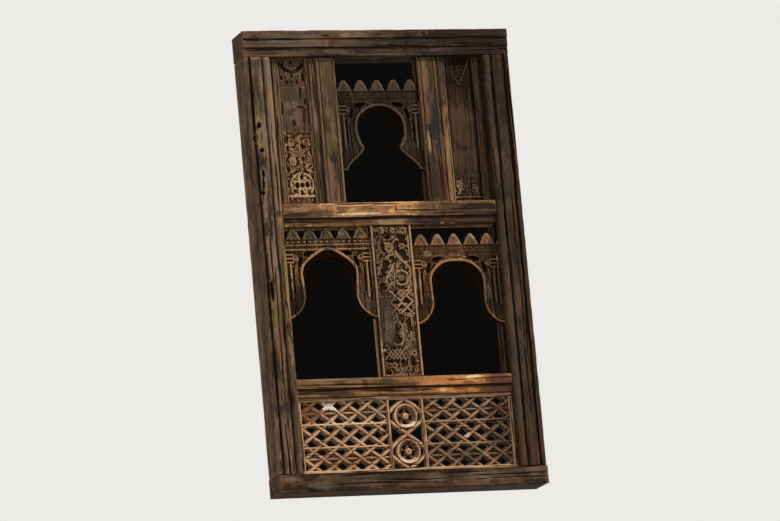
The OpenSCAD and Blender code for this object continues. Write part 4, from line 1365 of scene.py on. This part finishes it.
def camera():
    """The photograph's viewing angle: from low on the left, with the picture leaning 5.1 degrees."""
    low, high = cad_bounds
    centre = (low + high) / 2
    azimuth, elevation, lean = math.radians(19), math.radians(11), math.radians(5.1)
    distance, lens = 18.0, 243
    toward = Vector((math.sin(azimuth) * math.cos(elevation), math.cos(azimuth) * math.cos(elevation),
                     math.sin(elevation)))
    right = Vector((math.cos(azimuth), -math.sin(azimuth), 0))
    up = right.cross(toward)
    data = bpy.data.cameras.new("camera")
    data.lens, data.clip_end = lens, 200
    cam = bpy.data.objects.new("camera", data)
    bpy.context.scene.collection.objects.link(cam)
    side = right * math.cos(lean) - up * math.sin(lean)
    top = right * math.sin(lean) + up * math.cos(lean)
    turn = Matrix((side, top, -toward)).transposed()
    cam.matrix_world = Matrix.Translation(centre - distance * toward) @ turn.to_4x4()
    bpy.context.scene.camera = cam


bpy.context.scene.view_settings.view_transform = "Standard"
camera()
pale_floor()
unlit_room()
sky()
lamps()

jamb("left", JAMB_PITS, 5, old_wood("left_jamb_wood", 2, "180e07", "483523", "8f7254"))
# The right jamb's colours are darker than the left's: painted shadow over the window's right side.
jamb("right", (), 9, old_wood("right_jamb_wood", 2, "160e07", "35281b", "553f2b"))

# Level timbers: where along them their section is taken, slot, seed of the cracks, triangles, timber
for node, at, slot, seed, triangles, timber in (
        ("head_beam", 0.0, "head_wood", 3, 30000, ("head_wood", 0, "190f08", "423122", "6f563e")),
        ("sill", 0.47, "sill_wood", 4, 24000, ("sill_wood", 0, "110904", "302012", "6e5238")),
        ("midrail", 0.12, "rail_wood", 6, 24000, ("midrail_wood", 0, "2b180c", "80582f", "dda972", 0.06)),
        ("lower_rail", 0.12, "rail_wood", 8, 24000,
         ("lower_rail_wood", 0, "2b180c", "68472b", "9d7248", 0.06))):
    level_timber(node, at, seed, triangles, old_wood(*timber))

centre_mullion(old_wood("mullion_wood", 2, "26160b", "6b4f38", "b3916e", face=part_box("centre_mullion")[0].y,
                        sunk=(1.5, 8.0, 0.92)))
panel_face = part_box("upper_left_panel")[0].y
carved_panel("left", left_panel_carving, 50000, old_wood(
    "left_panel_wood", 2, "2f1b0d", "6c4c33", "b58e68", face=panel_face, sunk=(2.0, 7.5, 0.85)))
# The right panel's colours are darker than the left's: painted shadow over the window's right side.
carved_panel("right", right_panel_carving, 30000, old_wood(
    "right_panel_wood", 2, "160e07", "3c2d1f", "604a34", face=panel_face))
stile("left", old_wood("left_stile_wood", 2, "1a0f07", "473422", "87694a"))
# The right stile's colours are darker than the left's: painted shadow over the window's right side.
stile("right", old_wood("right_stile_wood", 2, "1a1008", "3a2a1c", "5e462d"))
for side, place, body, light in (("left", "outer", "4e3c29", "7c6144"), ("left", "inner", "4a3825", "72583d"),
                                 ("right", "inner", "60452d", "96714e"),
                                 ("right", "outer", "34271a", "513d2a")):
    batten(side, place, old_wood(f"{side}_{place}_batten_wood", 2, "1a1008", body, light))

# Arch boards: how far the ridge stands from the opening's middle, how much further over its crown, how crisp
# the mouldings are, and the timber's body and light
for node, haunch, keel, crisp, body, light in (
        # The upper board's colours are darker than the lower boards': painted shadow over the upper part of
        # the window.
        ("upper_arch_board", 97, 0, 0.15, "352b21", "5c4f3f"),
        ("lower_left_arch_board", 113, 11, 0.55, "563d27", "b28a60"),
        ("lower_right_arch_board", 109, -5, 0.15, "583c26", "ab7d55")):
    arch_board(node, haunch, keel, crisp, old_wood(node + "_wood", 2, "1a0f07", body, light,
                                                   face=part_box(node)[0].y, sunk=(1.5, 7.0, 1.0), reach=27))

apron_wood = ("3e230f", "986540", "e2b88f")
lattice_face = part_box("apron_left_lattice")[0].y
for place, timber, sunk in (("left", apron_wood, (1.5, 6.5, 0.6)), ("centre", apron_wood, (3.0, 10.0, 0.78)),
                            ("right", ("301b0d", "6e4f35", "b39070"), (1.5, 6.5, 0.62))):
    lattice(place, old_wood(f"{place}_lattice_wood", 0, *timber, face=lattice_face, sunk=sunk))
strip_look = old_wood("strip_wood", 0, *apron_wood)
upright_look = old_wood("divider_wood", 2, *apron_wood)
for place in ("top", "bottom"):
    board(f"apron_{place}_strip", 2.2 * mm, strip_look, 8000, axis=0)
for place in ("left_strip", "right_strip", "left_divider", "right_divider"):
    board("apron_" + place, 2.2 * mm, upright_look, 3500)
